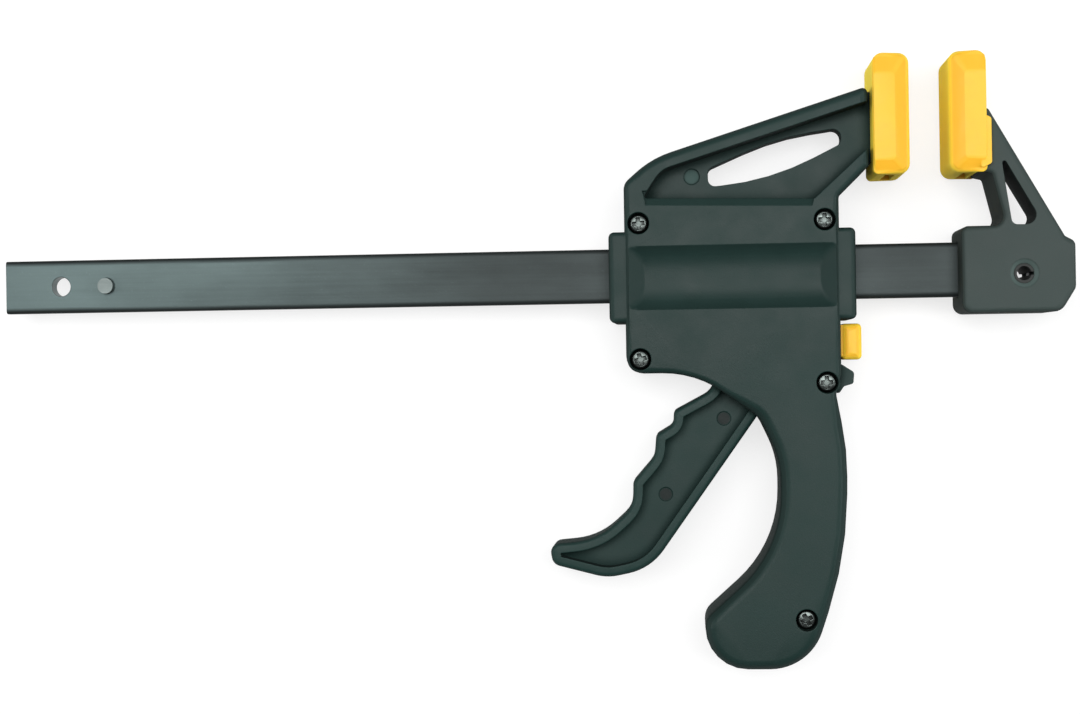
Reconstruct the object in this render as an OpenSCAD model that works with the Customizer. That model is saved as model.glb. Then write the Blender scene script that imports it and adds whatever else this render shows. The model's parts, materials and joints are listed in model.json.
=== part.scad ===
// Quick release bar clamp, lying on its side.
// X runs along the bar towards the fixed jaw, Y towards the jaw tips, Z up out of the bench.
// The origin is on the bar's centre line, half way along the housing, on the housing's lower face.
// All sizes are in millimetres.

/* [Bar] */
// Length of the flat steel bar
bar_length = 331; // [250:1:700]
// Height of the bar's section
bar_width = 17; // [14:0.5:19]
// Thickness of the bar's section
bar_thick = 5; // [4:0.25:6]
// Rounding of the bar's long edges
bar_edge = 1.2; // [0.5:0.1:1.6]
// Diameter of the hanging hole in the bar's free end
hang_hole_d = 6.2; // [4:0.1:8]
// From the bar's free end to the hanging hole
hang_hole_inset = 18.2; // [8:0.1:22]
// Diameter of the stop pin that keeps the housing on the bar
stop_pin_d = 5; // [3:0.1:6]
// From the bar's free end to the stop pin
stop_pin_inset = 33.2; // [28:0.1:60]
// How far the stop pin stands out of each face of the bar
stop_pin_proud = 1.8; // [1:0.1:3]
// Length of bar held in the fixed jaw
bar_in_jaw = 27.4; // [24:0.1:30]

/* [Jaws] */
// Reach from the bar's edge to the tips of the pads
throat = 58; // [52:1:80]
// Gap between the pads as the clamp is set down
rest_gap = 12; // [4:0.5:60]
// Height of a pad
pad_height = 37.2; // [30:0.1:42]
// Thickness of a pad along the bar
pad_thick = 11.25; // [9:0.25:13]
// Wall of a pad round the head that it is pushed on
pad_wall = 2; // [1.6:0.1:2.6]
// Corner rounding of a pad
pad_corner = 3.2; // [2:0.1:4]
// How far a pad's side faces slope away to its edges
pad_drop = 1.3; // [0.6:0.1:1.4]
// How far the fixed pad's lips reach over the jaw
pad_lip = 1.2; // [0.6:0.1:2]
// Length of the fixed jaw along the bar
jaw_length = 34.4; // [34:0.1:42]
// Thickness of the fixed jaw
jaw_thick = 24; // [20:0.5:26]
// Height of the fixed jaw's block below the bar's centre line
jaw_below = 13.8; // [12:0.2:18]
// Height of the fixed jaw's block above the bar's centre line
jaw_above = 12.9; // [11:0.2:16]
// Diameter of the roll pin that holds the jaw on the bar
roll_pin_d = 6; // [4:0.1:7]
// Wall of the roll pin
roll_pin_wall = 0.8; // [0.6:0.1:1.2]
// Diameter of the countersink round the roll pin
roll_sink_d = 9; // [8:0.1:11]

/* [Housing] */
// Length of the housing's body along the bar
body_length = 66; // [62:1:90]
// Thickness of the whole housing, which is split half way
housing_thick = 28; // [27:0.5:34]
// Wall thickness of the two shells
wall = 2.6; // [2:0.1:3]
// From the bar's lower edge down to the body's bottom
body_below = 22.3; // [22:0.1:28]
// From the bar's upper edge up to the arm's pocket
body_above = 14.3; // [14:0.1:20]
// Length of the collar at each end of the body
collar_length = 5; // [3:0.5:10]
// Height of the collar above the bar
collar_above = 4.7; // [3:0.1:6]
// Height of the collar below the bar
collar_below = 6.6; // [5:0.1:7]
// How far the collars' faces lie below the body's face
collar_drop = 0.7; // [0:0.1:1.5]
// Rounding of the body's outer edges
body_soft = 1.8; // [1:0.1:2.4]
// Rounding of the arm's upper edge
arm_soft = 2.4; // [1.4:0.1:2.6]
// Rounding of the grip's outer edges
grip_soft = 3.4; // [1.5:0.1:3.6]
// Wall left between the long recess in the front face and the drive spring
recess_wall = 0.9; // [0.8:0.1:1.4]
// Distance from the body's end to the back of the moving pad
arm_overhang = 10.7; // [8:0.1:20]
// Width of the rim round the arm's pocket
arm_rim = 4.4; // [3.6:0.1:5]
// Depth of the arm's pocket on each side
pocket_depth = 10; // [4:0.5:11]

/* [Grip] */
// From the bar's lower edge down to the end of the grip
grip_drop = 114.3; // [105:0.1:130]
// Width of the grip
grip_width = 20.7; // [19:0.1:26]

/* [Trigger] */
// Thickness of the trigger
trigger_thick = 16; // [12:0.5:18]
// Depth of the hollow in each side of the trigger
trigger_hollow = 5.5; // [2:0.5:6]
// Width of the rim round the trigger's hollow
trigger_rim = 3; // [2.4:0.1:3.4]
// Diameter of the pivot pin
pivot_pin_d = 5; // [4:0.1:6]
// Reach of the nose that pushes the drive plates
nose_reach = 12; // [11.5:0.1:12.5]
// Radius of the nose
nose_r = 3.5; // [3:0.1:3.6]
// Angle that the trigger swings through
trigger_swing = 18; // [10:1:18]

/* [Drive and release] */
// Width of a drive plate across the housing
drive_plate_width = 18; // [14:0.5:19]
// Height of a drive plate above the bar
drive_plate_above = 4; // [3:0.1:4.6]
// Thickness of one drive plate
drive_plate_thick = 3; // [2:0.25:3.5]
// Thickness of the brake lever
brake_thick = 4; // [3:0.25:4.5]
// Tilt of the brake lever when it grips the bar
brake_tilt = 5; // [3:0.5:6]
// Height of the release button
button_height = 11.2; // [9:0.1:12]
// Width of the release button across the housing
button_width = 16; // [12:0.5:18]
// How far the release button stands out of the housing
button_proud = 6.8; // [5:0.2:10]
// Wire of the drive spring
drive_wire = 1.2; // [0.8:0.1:1.3]
// Turns of the drive spring
drive_turns = 6; // [4:1:8]
// Wire of the brake spring
brake_wire = 0.8; // [0.5:0.1:1]
// Turns of the brake spring
brake_turns = 5; // [4:1:7]
// Outer diameter of the brake spring
brake_spring_d = 7; // [5:0.5:8]

/* [Screws] */
// Diameter of a screw's head
head_d = 6.2; // [5:0.1:6.4]
// Height of a screw's head
head_h = 2.2; // [1.6:0.1:2.4]
// Diameter of a screw's shank
screw_d = 3; // [2.5:0.1:3.5]
// Length of a screw's shank
screw_length = 20; // [14:0.5:21]
// Depth of the counterbore that a head lies in
head_sink = 3.4; // [2.6:0.1:3.8]

/* [Fits] */
// Clearance round the bar and between sliding parts
slide_gap = 0.3; // [0.15:0.05:0.4]
// Clearance between parts that are fitted together
fit_gap = 0.1; // [0.05:0.01:0.2]
// Radial clearance of a pin in the part that turns on it
pin_gap = 0.05; // [0.02:0.01:0.08]
// Radial clearance of a pin in the part that holds it
hold_gap = 0.02; // [0.01:0.005:0.04]

/* [Hidden] */
$fn = 48;

housing_green = "#3f4c47";
grip_green = "#35433e";
jaw_grey = "#4e5552";
bar_grey = "#626c69";
pad_yellow = "#f8c837";
pin_steel = "#c9ccca";
spring_steel = "#9a9c9a";
screw_black = "#3a3f3d";

// Overlap of joined solids, and how far a cut runs past a face
bite = 0.4;
past = 1;
// Steps of a quarter-round edge, and the width of the band that carries it
soft_steps = 3;
band = 3.8;
tiny_r = 0.25;

// Heights across the bench
mid = housing_thick / 2;
face = housing_thick;
inner_face = face - wall;
jaw_low = mid - jaw_thick / 2;
jaw_high = mid + jaw_thick / 2;
pad_room = pad_wall + 0.8;
pad_edge = 0.3;

// Lines along Y, measured from the bar's centre line
bar_top = bar_width / 2;
bar_low = -bar_top;
body_low = bar_low - body_below;
shoulder = bar_top + body_above;
pad_top = bar_top + throat;
pad_low = pad_top - pad_height;
collar_top = bar_top + collar_above;
collar_low = bar_low - collar_below;
grip_low = bar_low - grip_drop;

// Lines along X, measured from the middle of the body
body_left = -body_length / 2;
body_right = body_length / 2;
collar_left = body_left - collar_length;
collar_right = body_right + collar_length;
pad_back = body_right + arm_overhang;
arm_end = pad_back - 1.4;
moving_face = pad_back + pad_thick;
fixed_face = moving_face + rest_gap;
fixed_back = fixed_face + pad_thick;
jaw_left = fixed_face + 3.2;
bar_right = jaw_left + bar_in_jaw;
bar_left = bar_right - bar_length;
grip_back = body_right + 1.6;
grip_front = grip_back - grip_width;
heel = grip_front - 23.8;

// Pivot of the trigger, and the centre of its nose
pivot = [4, bar_low - 16.85];
nose_lean = trigger_swing / 2;
nose = pivot + nose_reach * [sin(nose_lean), cos(nose_lean)];
drive_right = nose.x - nose_r - fit_gap;
drive_left = drive_right - 2 * drive_plate_thick - fit_gap;
drive_top = bar_top + drive_plate_above;
drive_low = nose.y - 2.5;
drive_half = drive_plate_width / 2;

// Pivot of the brake lever, which rocks in a notch over the bar
brake_pivot = [body_right - 11, bar_top + 4.3];
brake_head = 1.2;
button_top = collar_low - 1.2;
button_low = button_top - button_height;
brake_low = button_low + 2;
button_right = body_right + button_proud;

// Seats of the springs
drive_seat = body_left + wall;
drive_spring_r = norm([bar_top - bar_edge, bar_thick / 2 - bar_edge]) + bar_edge + 0.5
    + drive_wire / 2;
recess_floor = mid + drive_spring_r + drive_wire / 2 + slide_gap + recess_wall;
recess_depth = face - recess_floor;
brake_rib = 13;
brake_spring_y = (button_top + button_low) / 2 + 2;

// Centres of the screws that join the shells
screw_inset = 4.4;
screw_places = [
    [body_left + screw_inset, collar_top + 2.5],
    [body_right - screw_inset, collar_top + 2.5],
    [body_left + screw_inset, body_low + screw_inset],
    [body_right - screw_inset, body_low - 3.6],
    [grip_back - 13.4, grip_low + 15.5],
];
head_seat = face - head_sink;
boss_r = head_d / 2 + 1;

// The arm's upper edge and underside
arm_tip_top = pad_top - 10;
arm_knee = [body_left + 8.3, shoulder + 12.9];
arm_slope = (arm_tip_top - arm_knee.y) / (arm_end - arm_knee.x);
function arm_top_at(x) = arm_tip_top - (arm_end - x) * arm_slope;
arm_tip_low = pad_low + 2.6;
arm_edge = min(arm_soft, wall - 0.2);

// Corners [x, y, radius, edge rounding] of the housing, counterclockwise from the lower left
housing_path = [
    [body_left, body_low, 5.5, body_soft],
    [grip_front - 25.5, body_low, 32, body_soft],
    [grip_front - 6.1, body_low - 14.1, 8, grip_soft],
    [grip_front, body_low - 27.2, 31, grip_soft],
    [grip_front, grip_low + 37.2, 39, grip_soft],
    [heel, grip_low + 15.9, 6, grip_soft],
    [heel, grip_low, 13, grip_soft],
    [grip_back - 12.5, grip_low, 17, grip_soft],
    [grip_back - 0.6, grip_low + 35.2, 120, grip_soft],
    [grip_back, body_low - 24.3, 80, grip_soft],
    [grip_back - 3.3, body_low - 7.2, 3, body_soft],
    [body_right, body_low - 1.2, 4, body_soft],
    [body_right, shoulder, 2, body_soft],
    [arm_end, arm_tip_low, 1.5, body_soft],
    [arm_end, arm_tip_top, 1.5, arm_edge],
    [arm_knee.x, arm_knee.y, 30, arm_edge],
    [body_left, shoulder + 5.3, 4, body_soft],
];

// Corners of the pocket in each side of the arm, and of the window through its floor
pocket_top = 1.05 * arm_rim;
slope_width = 2.3;
slope_end = 0.9;
slope_drop = 1;
pocket_path = [
    [body_left + 5.7, shoulder + 0.6, 0.8],
    [body_right - 7.3, shoulder - 0.6, 1],
    [arm_end + past, arm_tip_low + 6.4, 0.5],
    [arm_end + past, arm_top_at(arm_end + past) - pocket_top, 0.5],
    [body_left + 11.5, arm_top_at(body_left + 11.5) - pocket_top, 8],
];
window_path = [
    [body_left + 26.2, shoulder + 4.5, 2.2],
    [body_right - 20.5, shoulder + 6.1, 80],
    [body_right + 1.7, arm_tip_low + 8, 2.4],
    [body_right + 1.7, arm_top_at(body_right + 1.7) - 9.3, 2.6],
    [body_right - 18.5, arm_top_at(body_right - 18.5) - 5.8, 80],
    [body_left + 26.2, arm_top_at(body_left + 26.2) - 8.3, 2.2],
];

// Guard under the release button
guard_path = [
    [body_right - 2, button_low - 1.2, 0.4],
    [body_right + 0.4, button_low - 1.4, 0.5],
    [body_right + 4.2, button_low - 3.9, 1.2],
    [body_right + 3.9, button_low - 7.4, 0.9],
    [body_right + 1, button_low - 8.2, 0.6],
    [body_right - 0.9, button_low - 11, 1],
    [body_right - 2.6, button_low - 8.6, 0.4],
];

// Corners of the fixed jaw: block, right leg, neck, left leg
leg_top = pad_top - 13;
jaw_right = jaw_left + jaw_length;
jaw_neck = fixed_back - pad_wall + fit_gap;
jaw_path = [
    [jaw_left, -jaw_below, 3, 1.6],
    [jaw_right - 4.5, -jaw_below, 4, 1.6],
    [jaw_right, 7.3 - jaw_below, 3, 1.6],
    [jaw_right, jaw_above - 5.3, 2.2, 1.6],
    [jaw_right - 3.1, jaw_above - 3.6, 1, 1.6],
    [jaw_neck, leg_top, 1.6, 1.6],
    [jaw_neck, pad_low + 0.2, 1, 1.6],
    [fixed_back + 1.5, pad_low - 0.6, 1, 1.6],
    [fixed_back + 5.4, jaw_above, 3, 1.6],
    [jaw_left, jaw_above, 2.2, 1.6],
];
jaw_window_path = [
    [fixed_back + 7.3, jaw_above + 0.2, 1.8],
    [fixed_back + 16.8, jaw_above, 3],
    [fixed_back + 3.9, pad_low + 6.2, 0.7],
];

// Corners of the trigger's finger part, from the hub round the three finger hollows to the tip
trigger_soft = 1.3;
tip = pivot + [-62.2, -61.2];
trigger_path = [
    [pivot.x + 6.6, pivot.y - 2, 6, trigger_soft],
    [pivot.x - 6.4, pivot.y - 2, 6, trigger_soft],
    [pivot.x - 11.4, pivot.y - 11.4, 6, trigger_soft],
    [pivot.x - 22.6, pivot.y - 17.3, 1.8, trigger_soft],
    [pivot.x - 22.8, pivot.y - 21.4, 3, trigger_soft],
    [pivot.x - 28.2, pivot.y - 24.6, 1.8, trigger_soft],
    [pivot.x - 28.8, pivot.y - 31.4, 7, trigger_soft],
    [pivot.x - 35.6, pivot.y - 39.2, 2, trigger_soft],
    [pivot.x - 35.8, pivot.y - 47, 9, trigger_soft],
    [pivot.x - 47, pivot.y - 57.2, 22, trigger_soft],
    [tip.x, tip.y + 2.6, 2.8, trigger_soft],
    [tip.x + 1, tip.y - 3.7, 3.2, trigger_soft],
    [tip.x + 18, tip.y - 8.1, 16, trigger_soft],
    [tip.x + 31.6, tip.y - 5.3, 18, trigger_soft],
    [pivot.x + 4.7, pivot.y - 17.2, 8, trigger_soft],
];

// ---- Outlines -------------------------------------------------------------------------------

function unit(v) = v / norm(v);
function left_of(v) = [-v.y, v.x];
function turned(v, a) = [v.x * cos(a) - v.y * sin(a), v.x * sin(a) + v.y * cos(a)];
function spot(c) = [c.x, c.y];
function corner(path, i) = path[(i + len(path)) % len(path)];
function heading(path, i) = unit(spot(corner(path, i + 1)) - spot(corner(path, i)));
function soft_of(c) = is_undef(c[3]) ? 0 : c[3];

// Arc steps of a corner: finer where the turn is long
function arc_steps(turn, r) = max(1, ceil(turn / (r > 15 ? 6 : 15) - 0.01));

// Arc of one corner, with the outline set in by d plus the share k of the corner's edge rounding
function corner_arc(path, i, d, k) =
    let (
        c = corner(path, i),
        u = heading(path, i - 1),
        v = heading(path, i),
        side = cross(u, v) < 0 ? -1 : 1,
        turn = acos(min(1, u * v)),
        inset = d + k * soft_of(c),
        p = spot(c) + inset * (left_of(u) + left_of(v)) / (1 + u * v),
        r = max(tiny_r, c[2] - side * inset),
        start = p - r * tan(turn / 2) * u,
        hub = start + side * r * left_of(u),
        steps = arc_steps(turn, c[2])
    )
    [for (s = [0 : steps]) hub + turned(start - hub, side * turn * s / steps)];

// Points of a closed outline that is set in by d
function outline(path, d = 0) = [
    for (i = [0 : len(path) - 1]) each corner_arc(path, i, d, 0)
];

// One ring of a band: the outline at inset d + k * rounding and height z + kz * rounding
function ring(path, d, k, z, kz) = [
    for (i = [0 : len(path) - 1])
        for (p = corner_arc(path, i, d, k)) [p.x, p.y, z + kz * soft_of(corner(path, i))]
];

// Quarter-round profiles [d, k, z, kz] at the top and at the bottom of a band
function soft_top(z) = [
    for (s = [0 : soft_steps])
        let (a = 90 * s / soft_steps) [0, 1 - cos(a), z, sin(a) - 1]
];
function soft_bottom(z) = [
    for (s = [0 : soft_steps])
        let (a = 90 * s / soft_steps) [0, 1 - sin(a), z, 1 - cos(a)]
];

// Closed band that follows an outline; profile runs up the outside and down the inside
module outline_band(path, profile) {
    rings = [for (q = profile) ring(path, q[0], q[1], q[2], q[3])];
    n = len(rings[0]);
    m = len(rings);
    polyhedron(
        points = [for (r = rings) each r],
        faces = [
            for (j = [0 : m - 1])
                for (i = [0 : n - 1])
                    let (
                        a = j * n + i,
                        b = j * n + (i + 1) % n,
                        c = ((j + 1) % m) * n + (i + 1) % n,
                        d = ((j + 1) % m) * n + i
                    )
                    each [[a, d, c], [a, c, b]]
        ]
    );
}

module outline_plate(path, z0, z1, d = 0) {
    translate([0, 0, z0])
        linear_extrude(z1 - z0)
            polygon(outline(path, d));
}

// Slab between z0 and z1 with both of its outer edges rounded
module soft_slab(path, z0, z1, width = band) {
    outline_band(path, concat(
        [[width, 0, z0, 0]], soft_bottom(z0), soft_top(z1), [[width, 0, z1, 0]]
    ));
    outline_plate(path, z0, z1, width - bite);
}

module box(low, high) {
    translate(low)
        cube(high - low);
}

module post(place, r, z0, z1) {
    translate([place.x, place.y, z0])
        cylinder(r = r, h = z1 - z0);
}

// Mirrors what is above the parting plane to below it
module other_half() {
    translate([0, 0, mid])
        mirror([0, 0, 1])
            translate([0, 0, -mid])
                children();
}

// ---- Housing shells -------------------------------------------------------------------------

// Outer wall and rounded edge of a shell, with the flange that carries the cover
module shell_wall() {
    outline_band(housing_path, concat(
        [[0, 0, mid, 0]],
        soft_top(face),
        [[band, 0, face, 0], [band, 0, inner_face, 0], [wall, 0, inner_face, 0], [wall, 0, mid, 0]]
    ));
    outline_plate(housing_path, inner_face, face, band - bite);
}

// Rim round the arm's pocket, down to the parting plane
module arm_rim_solid() {
    translate([0, 0, mid])
        linear_extrude(face - mid)
            difference() {
                intersection() {
                    polygon(outline(housing_path, max(arm_edge, body_soft)));
                    translate([body_left, shoulder - wall])
                        square([body_length + 2 * arm_overhang, throat]);
                }
                polygon(outline(pocket_path));
            }
}

// Floor of the pocket and the wall round the window
module arm_web() {
    floor_z = face - pocket_depth;
    outline_plate(pocket_path, floor_z - wall, floor_z, -bite);
    outline_plate(window_path, mid, floor_z, -wall);
}

// Neck and T-shaped head that carry the moving pad
module arm_head() {
    box([arm_end - wall, arm_tip_low + 2, mid], [pad_back + pad_wall + bite, arm_tip_top - 0.8, face - pocket_depth]);
    box(
        [pad_back + pad_wall + fit_gap, pad_low + pad_wall + fit_gap, mid],
        [moving_face - 1.5 * pad_wall - fit_gap, pad_top - pad_wall - fit_gap, face - pad_room - fit_gap]
    );
}

// Slope that leads from the body's face down to the pocket's lower edge
module pocket_slope() {
    low = [spot(pocket_path[0]), spot(pocket_path[1])];
    run = [slope_end, -slope_width];
    loft(
        [low[0], low[1], low[1] + [0, slope_width], low[0] + [0, slope_width]],
        [
            low[0] + 2 * run, low[1] + 2 * [-run.x, run.y],
            low[1] + [0, slope_width], low[0] + [0, slope_width]
        ],
        face - slope_drop, face + slope_drop
    );
}

// Collar block at each end, which guides the bar
module collar_outline() {
    r = 2;
    polygon(outline([
        [collar_left, collar_low, r],
        [collar_right, collar_low, r],
        [collar_right, collar_top, r],
        [collar_left, collar_top, r],
    ]));
}

module collars() {
    soft = body_soft;
    top = face - collar_drop;
    intersection() {
        translate([0, 0, mid])
            linear_extrude(top - mid)
                collar_outline();
        translate([0, collar_top, 0])
            rotate([90, 0, 0])
                linear_extrude(collar_top - collar_low)
                    polygon(outline([
                        [collar_left, 0, tiny_r],
                        [collar_right, 0, tiny_r],
                        [collar_right, top, soft],
                        [collar_left, top, soft],
                    ]));
        translate([collar_left, 0, 0])
            rotate([90, 0, 90])
                linear_extrude(collar_right - collar_left)
                    polygon(outline([
                        [collar_low, 0, tiny_r],
                        [collar_top, 0, tiny_r],
                        [collar_top, top, soft],
                        [collar_low, top, soft],
                    ]));
        union() {
            box([collar_left - past, collar_low - past, mid], [body_left + wall, collar_top + past, face]);
            box([body_right - wall, collar_low - past, mid], [collar_right + past, collar_top + past, face]);
        }
    }
}

// Ribs, bosses and seats inside a shell
module shell_inside() {
    for (place = screw_places)
        post(place, boss_r, mid, face - body_soft - 0.2);
    post(pivot, pivot_pin_d / 2 + 2.5, mid + trigger_thick / 2 + slide_gap, inner_face + bite);
    // Rib behind the brake spring
    box(
        [brake_rib - 1.6, button_low - 2, mid],
        [brake_rib, collar_low + 2, inner_face + bite]
    );
    // Notch that the brake lever rocks in
    box(
        [brake_pivot.x - brake_thick / 2 - 2, bar_top + 1, mid],
        [brake_pivot.x - brake_thick / 2 - slide_gap, shoulder - wall + bite, inner_face + bite]
    );
    box(
        [brake_pivot.x - brake_thick / 2 - 1, brake_pivot.y + brake_head + 0.2 + slide_gap, mid],
        [body_right - screw_inset, shoulder - wall + bite, inner_face + bite]
    );
    // Stiffening ribs across the grip
    intersection() {
        outline_plate(housing_path, mid + 2, inner_face + bite, wall - bite);
        union() {
            for (k = [0 : 3])
                translate([grip_front, body_low - 24 - 16 * k, mid])
                    rotate([0, 0, 12])
                        cube([grip_width, 1.4, face - mid]);
        }
    }
}

module shell_cuts() {
    // Arm's pocket and window, and the mark of the mould's ejector pin
    outline_plate(pocket_path, face - pocket_depth, face + past);
    pocket_slope();
    post([body_left + 21.1, shoulder + 7.8], mark_r + 0.3, face - pocket_depth - mark_depth, face);
    outline_plate(window_path, mid - past, face + past);
    // Way for the bar through the collars
    box(
        [collar_left - past, bar_low - slide_gap, mid - past],
        [body_left + wall + past, bar_top + slide_gap, mid + bar_thick / 2 + slide_gap]
    );
    box(
        [body_right - wall - past, bar_low - slide_gap, mid - past],
        [collar_right + past, bar_top + slide_gap, mid + bar_thick / 2 + slide_gap]
    );
    // Slot for the trigger, from the front of the body round to the grip
    box(
        [pivot.x - 17, body_low - 23, mid - past],
        [pivot.x + 10.4, body_low + wall + 1.2, mid + trigger_thick / 2 + slide_gap]
    );
    // Slot for the release button
    box(
        [body_right - wall - past, button_low - 1.2, mid - past],
        [body_right + past, button_top + 0.4, mid + button_width / 2 + slide_gap]
    );
    post(pivot, pivot_pin_d / 2 + hold_gap, mid - past, face - 2);
}

// Guard under the button, narrower than the housing
module button_guard() {
    outline_plate(guard_path, mid, mid + 9);
}

module half_shell() {
    difference() {
        union() {
            shell_wall();
            arm_rim_solid();
            arm_web();
            collars();
            button_guard();
            shell_inside();
        }
        shell_cuts();
    }
    arm_head();
}

// Long recess in the front face, with sloping ends and steep sides
recess_low = [body_left + 0.8, bar_low - 2.7];
recess_high = [body_right - 0.5, bar_top + 0.1];
recess_end = 5.2;
recess_side = 3.1;
module front_recess() {
    polyhedron(
        points = [
            for (z = [0, 1])
                for (q = [[0, 0], [1, 0], [1, 1], [0, 1]])
                    [
                        recess_low.x + q.x * (recess_high.x - recess_low.x)
                            + (1 - 2 * q.x) * recess_end * (1 - z * (1 + past / recess_depth)),
                        recess_low.y + q.y * (recess_high.y - recess_low.y)
                            + (1 - 2 * q.y) * recess_side * (1 - z * (1 + past / recess_depth)),
                        recess_floor + z * (recess_depth + past)
                    ]
        ],
        faces = [[0, 1, 2, 3], [7, 6, 5, 4], [0, 4, 5, 1], [1, 5, 6, 2], [2, 6, 7, 3], [3, 7, 4, 0]]
    );
}

module front_shell() {
    color(housing_green)
        difference() {
            union() {
                half_shell();
                // Backing behind the recess
                box(
                    [body_left + wall / 2, recess_low.y - bite, recess_floor - recess_wall],
                    [body_right - wall / 2, recess_high.y + bite, face - body_soft]
                );
            }
            front_recess();
            for (place = screw_places) {
                post(place, screw_d / 2 + fit_gap, mid - past, face);
                post(place, head_d / 2 + slide_gap, head_seat, face + past);
            }
        }
}

module back_shell() {
    color(housing_green)
        difference() {
            other_half()
                half_shell();
            for (place = screw_places)
                post(place, screw_d / 2 + hold_gap, wall, mid + past);
        }
}

// ---- Pads -----------------------------------------------------------------------------------

// Corners of a pad, with its clamping face at x = 0 and its back towards -X; the back edges are crisp
pad_path = [
    [-pad_thick, pad_low, pad_corner / 2, pad_edge],
    [0, pad_low, pad_corner, 1.6],
    [0, pad_top, pad_corner, 1.6],
    [-pad_thick, pad_top, pad_corner, pad_edge],
];

// Raised flat of a pad's side face, and the foot of the slopes that fall away from it
pad_flat = [
    [-pad_thick + pad_edge, pad_low + 4, 1],
    [-4.5, pad_low + 4, 1.5],
    [-4.5, pad_top - 6, 1.5],
    [-pad_thick + pad_edge, pad_top - 6, 1],
];
pad_foot = [
    [-pad_thick + pad_edge, pad_low + 1, 1],
    [-1.2, pad_low + 1, 1.5],
    [-1.2, pad_top - 1, 1.5],
    [-pad_thick + pad_edge, pad_top - 1, 1],
];

// Solid between a lower and an upper convex outline with as many points
module loft(low, high, z0, z1) {
    n = len(low);
    polyhedron(
        points = concat([for (p = low) [p.x, p.y, z0]], [for (p = high) [p.x, p.y, z1]]),
        faces = concat(
            [[for (i = [0 : n - 1]) i]],
            [[for (i = [n - 1 : -1 : 0]) n + i]],
            [for (i = [0 : n - 1]) each [[i, n + i, n + (i + 1) % n], [i, n + (i + 1) % n, (i + 1) % n]]]
        )
    );
}

module pad_side() {
    loft(outline(pad_foot), outline(pad_flat), face - pad_drop - 0.1, face);
}

// A neck of this height and depth passes through the pad's back
module pad(neck_low, neck_high, neck_z) {
    difference() {
        union() {
            soft_slab(pad_path, pad_drop, face - pad_drop, 3);
            pad_side();
            other_half()
                pad_side();
            children();
        }
        // Room for the head
        box(
            [-pad_thick + pad_wall, pad_low + pad_wall, pad_room],
            [-1.5 * pad_wall, pad_top - pad_wall, face - pad_room]
        );
        // Way in for the neck
        box(
            [-pad_thick - 2 * pad_lip, neck_low - slide_gap, neck_z],
            [-pad_thick + pad_wall + past, neck_high + slide_gap, face - neck_z]
        );
        // Slot in the underside
        box([-7.4, pad_low - past, mid - 9], [-4.4, pad_low + pad_wall + past, mid + 9]);
    }
}

module moving_jaw_pad() {
    color(pad_yellow)
        translate([moving_face, 0, 0])
            pad(arm_tip_low + 2, arm_tip_top - 0.8, pocket_depth - slide_gap);
}

// Lip that laps over the jaw's leg
lip_top = leg_top - 7.3;
module pad_lip_plate() {
    outline_plate([
        [-pad_thick - pad_lip, pad_low + 2.5, 1],
        [-pad_thick + pad_wall, pad_low + 1, 0.5],
        [-pad_thick + pad_wall, lip_top + 1, 0.5],
        [-pad_thick - pad_lip, lip_top - 0.5, 1],
    ], face - pad_drop - 1, face - 0.3);
}

module fixed_jaw_pad() {
    color(pad_yellow)
        translate([fixed_face, 0, 0])
            mirror([1, 0, 0])
                pad(pad_low - past, leg_top, jaw_low - 2 * fit_gap) {
                    pad_lip_plate();
                    other_half()
                        pad_lip_plate();
                }
}

// ---- Bar and fixed jaw ----------------------------------------------------------------------

roll_pin_place = [bar_right - 8.6, -1.9];
stop_pin_x = bar_left + stop_pin_inset;
roll_sink = 1.2;
roll_pin_slope = (roll_sink_d / 2 - roll_pin_d / 2 - hold_gap) * past / roll_sink;

module bar() {
    color(bar_grey)
        difference() {
            translate([bar_left, 0, mid])
                rotate([90, 0, 90])
                    linear_extrude(bar_length)
                        polygon(outline([
                            [bar_low, -bar_thick / 2, bar_edge],
                            [bar_top, -bar_thick / 2, bar_edge],
                            [bar_top, bar_thick / 2, bar_edge],
                            [bar_low, bar_thick / 2, bar_edge],
                        ]));
            post([bar_left + hang_hole_inset, 0], hang_hole_d / 2, mid - bar_thick, mid + bar_thick);
            post([stop_pin_x, 0], stop_pin_d / 2 + hold_gap, mid - bar_thick, mid + bar_thick);
            post(roll_pin_place, roll_pin_d / 2 + hold_gap, mid - bar_thick, mid + bar_thick);
        }
}

module bar_stop_pin() {
    color(pin_steel)
        post([stop_pin_x, 0], stop_pin_d / 2,
            mid - bar_thick / 2 - stop_pin_proud, mid + bar_thick / 2 + stop_pin_proud);
}

// Cone that leads the roll pin into the jaw
module roll_pin_sink() {
    translate([roll_pin_place.x, roll_pin_place.y, jaw_high - roll_sink])
        cylinder(r1 = roll_pin_d / 2 + hold_gap, r2 = roll_sink_d / 2 + roll_pin_slope, h = roll_sink + past);
}

module fixed_jaw() {
    color(jaw_grey) {
        difference() {
            soft_slab(jaw_path, jaw_low, jaw_high, 2.6);
            outline_plate(jaw_window_path, jaw_low - past, jaw_high + past);
            // Pocket for the bar
            box(
                [jaw_left - past, bar_low - fit_gap, mid - bar_thick / 2 - fit_gap],
                [bar_right + fit_gap, bar_top + fit_gap, mid + bar_thick / 2 + fit_gap]
            );
            post(roll_pin_place, roll_pin_d / 2 + hold_gap, jaw_low - past, jaw_high + past);
            roll_pin_sink();
            other_half()
                roll_pin_sink();
        }
        // Head that carries the pad, and its neck
        box(
            [fixed_back - pad_wall - bite, pad_low + pad_wall + fit_gap, jaw_low + 1.6],
            [jaw_neck + 2, leg_top - 6, jaw_high - 1.6]
        );
        box(
            [fixed_face + 1.5 * pad_wall + fit_gap, pad_low + pad_wall + fit_gap, pad_room + fit_gap],
            [fixed_back - pad_wall - fit_gap, pad_top - pad_wall - fit_gap, face - pad_room - fit_gap]
        );
    }
}

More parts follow.
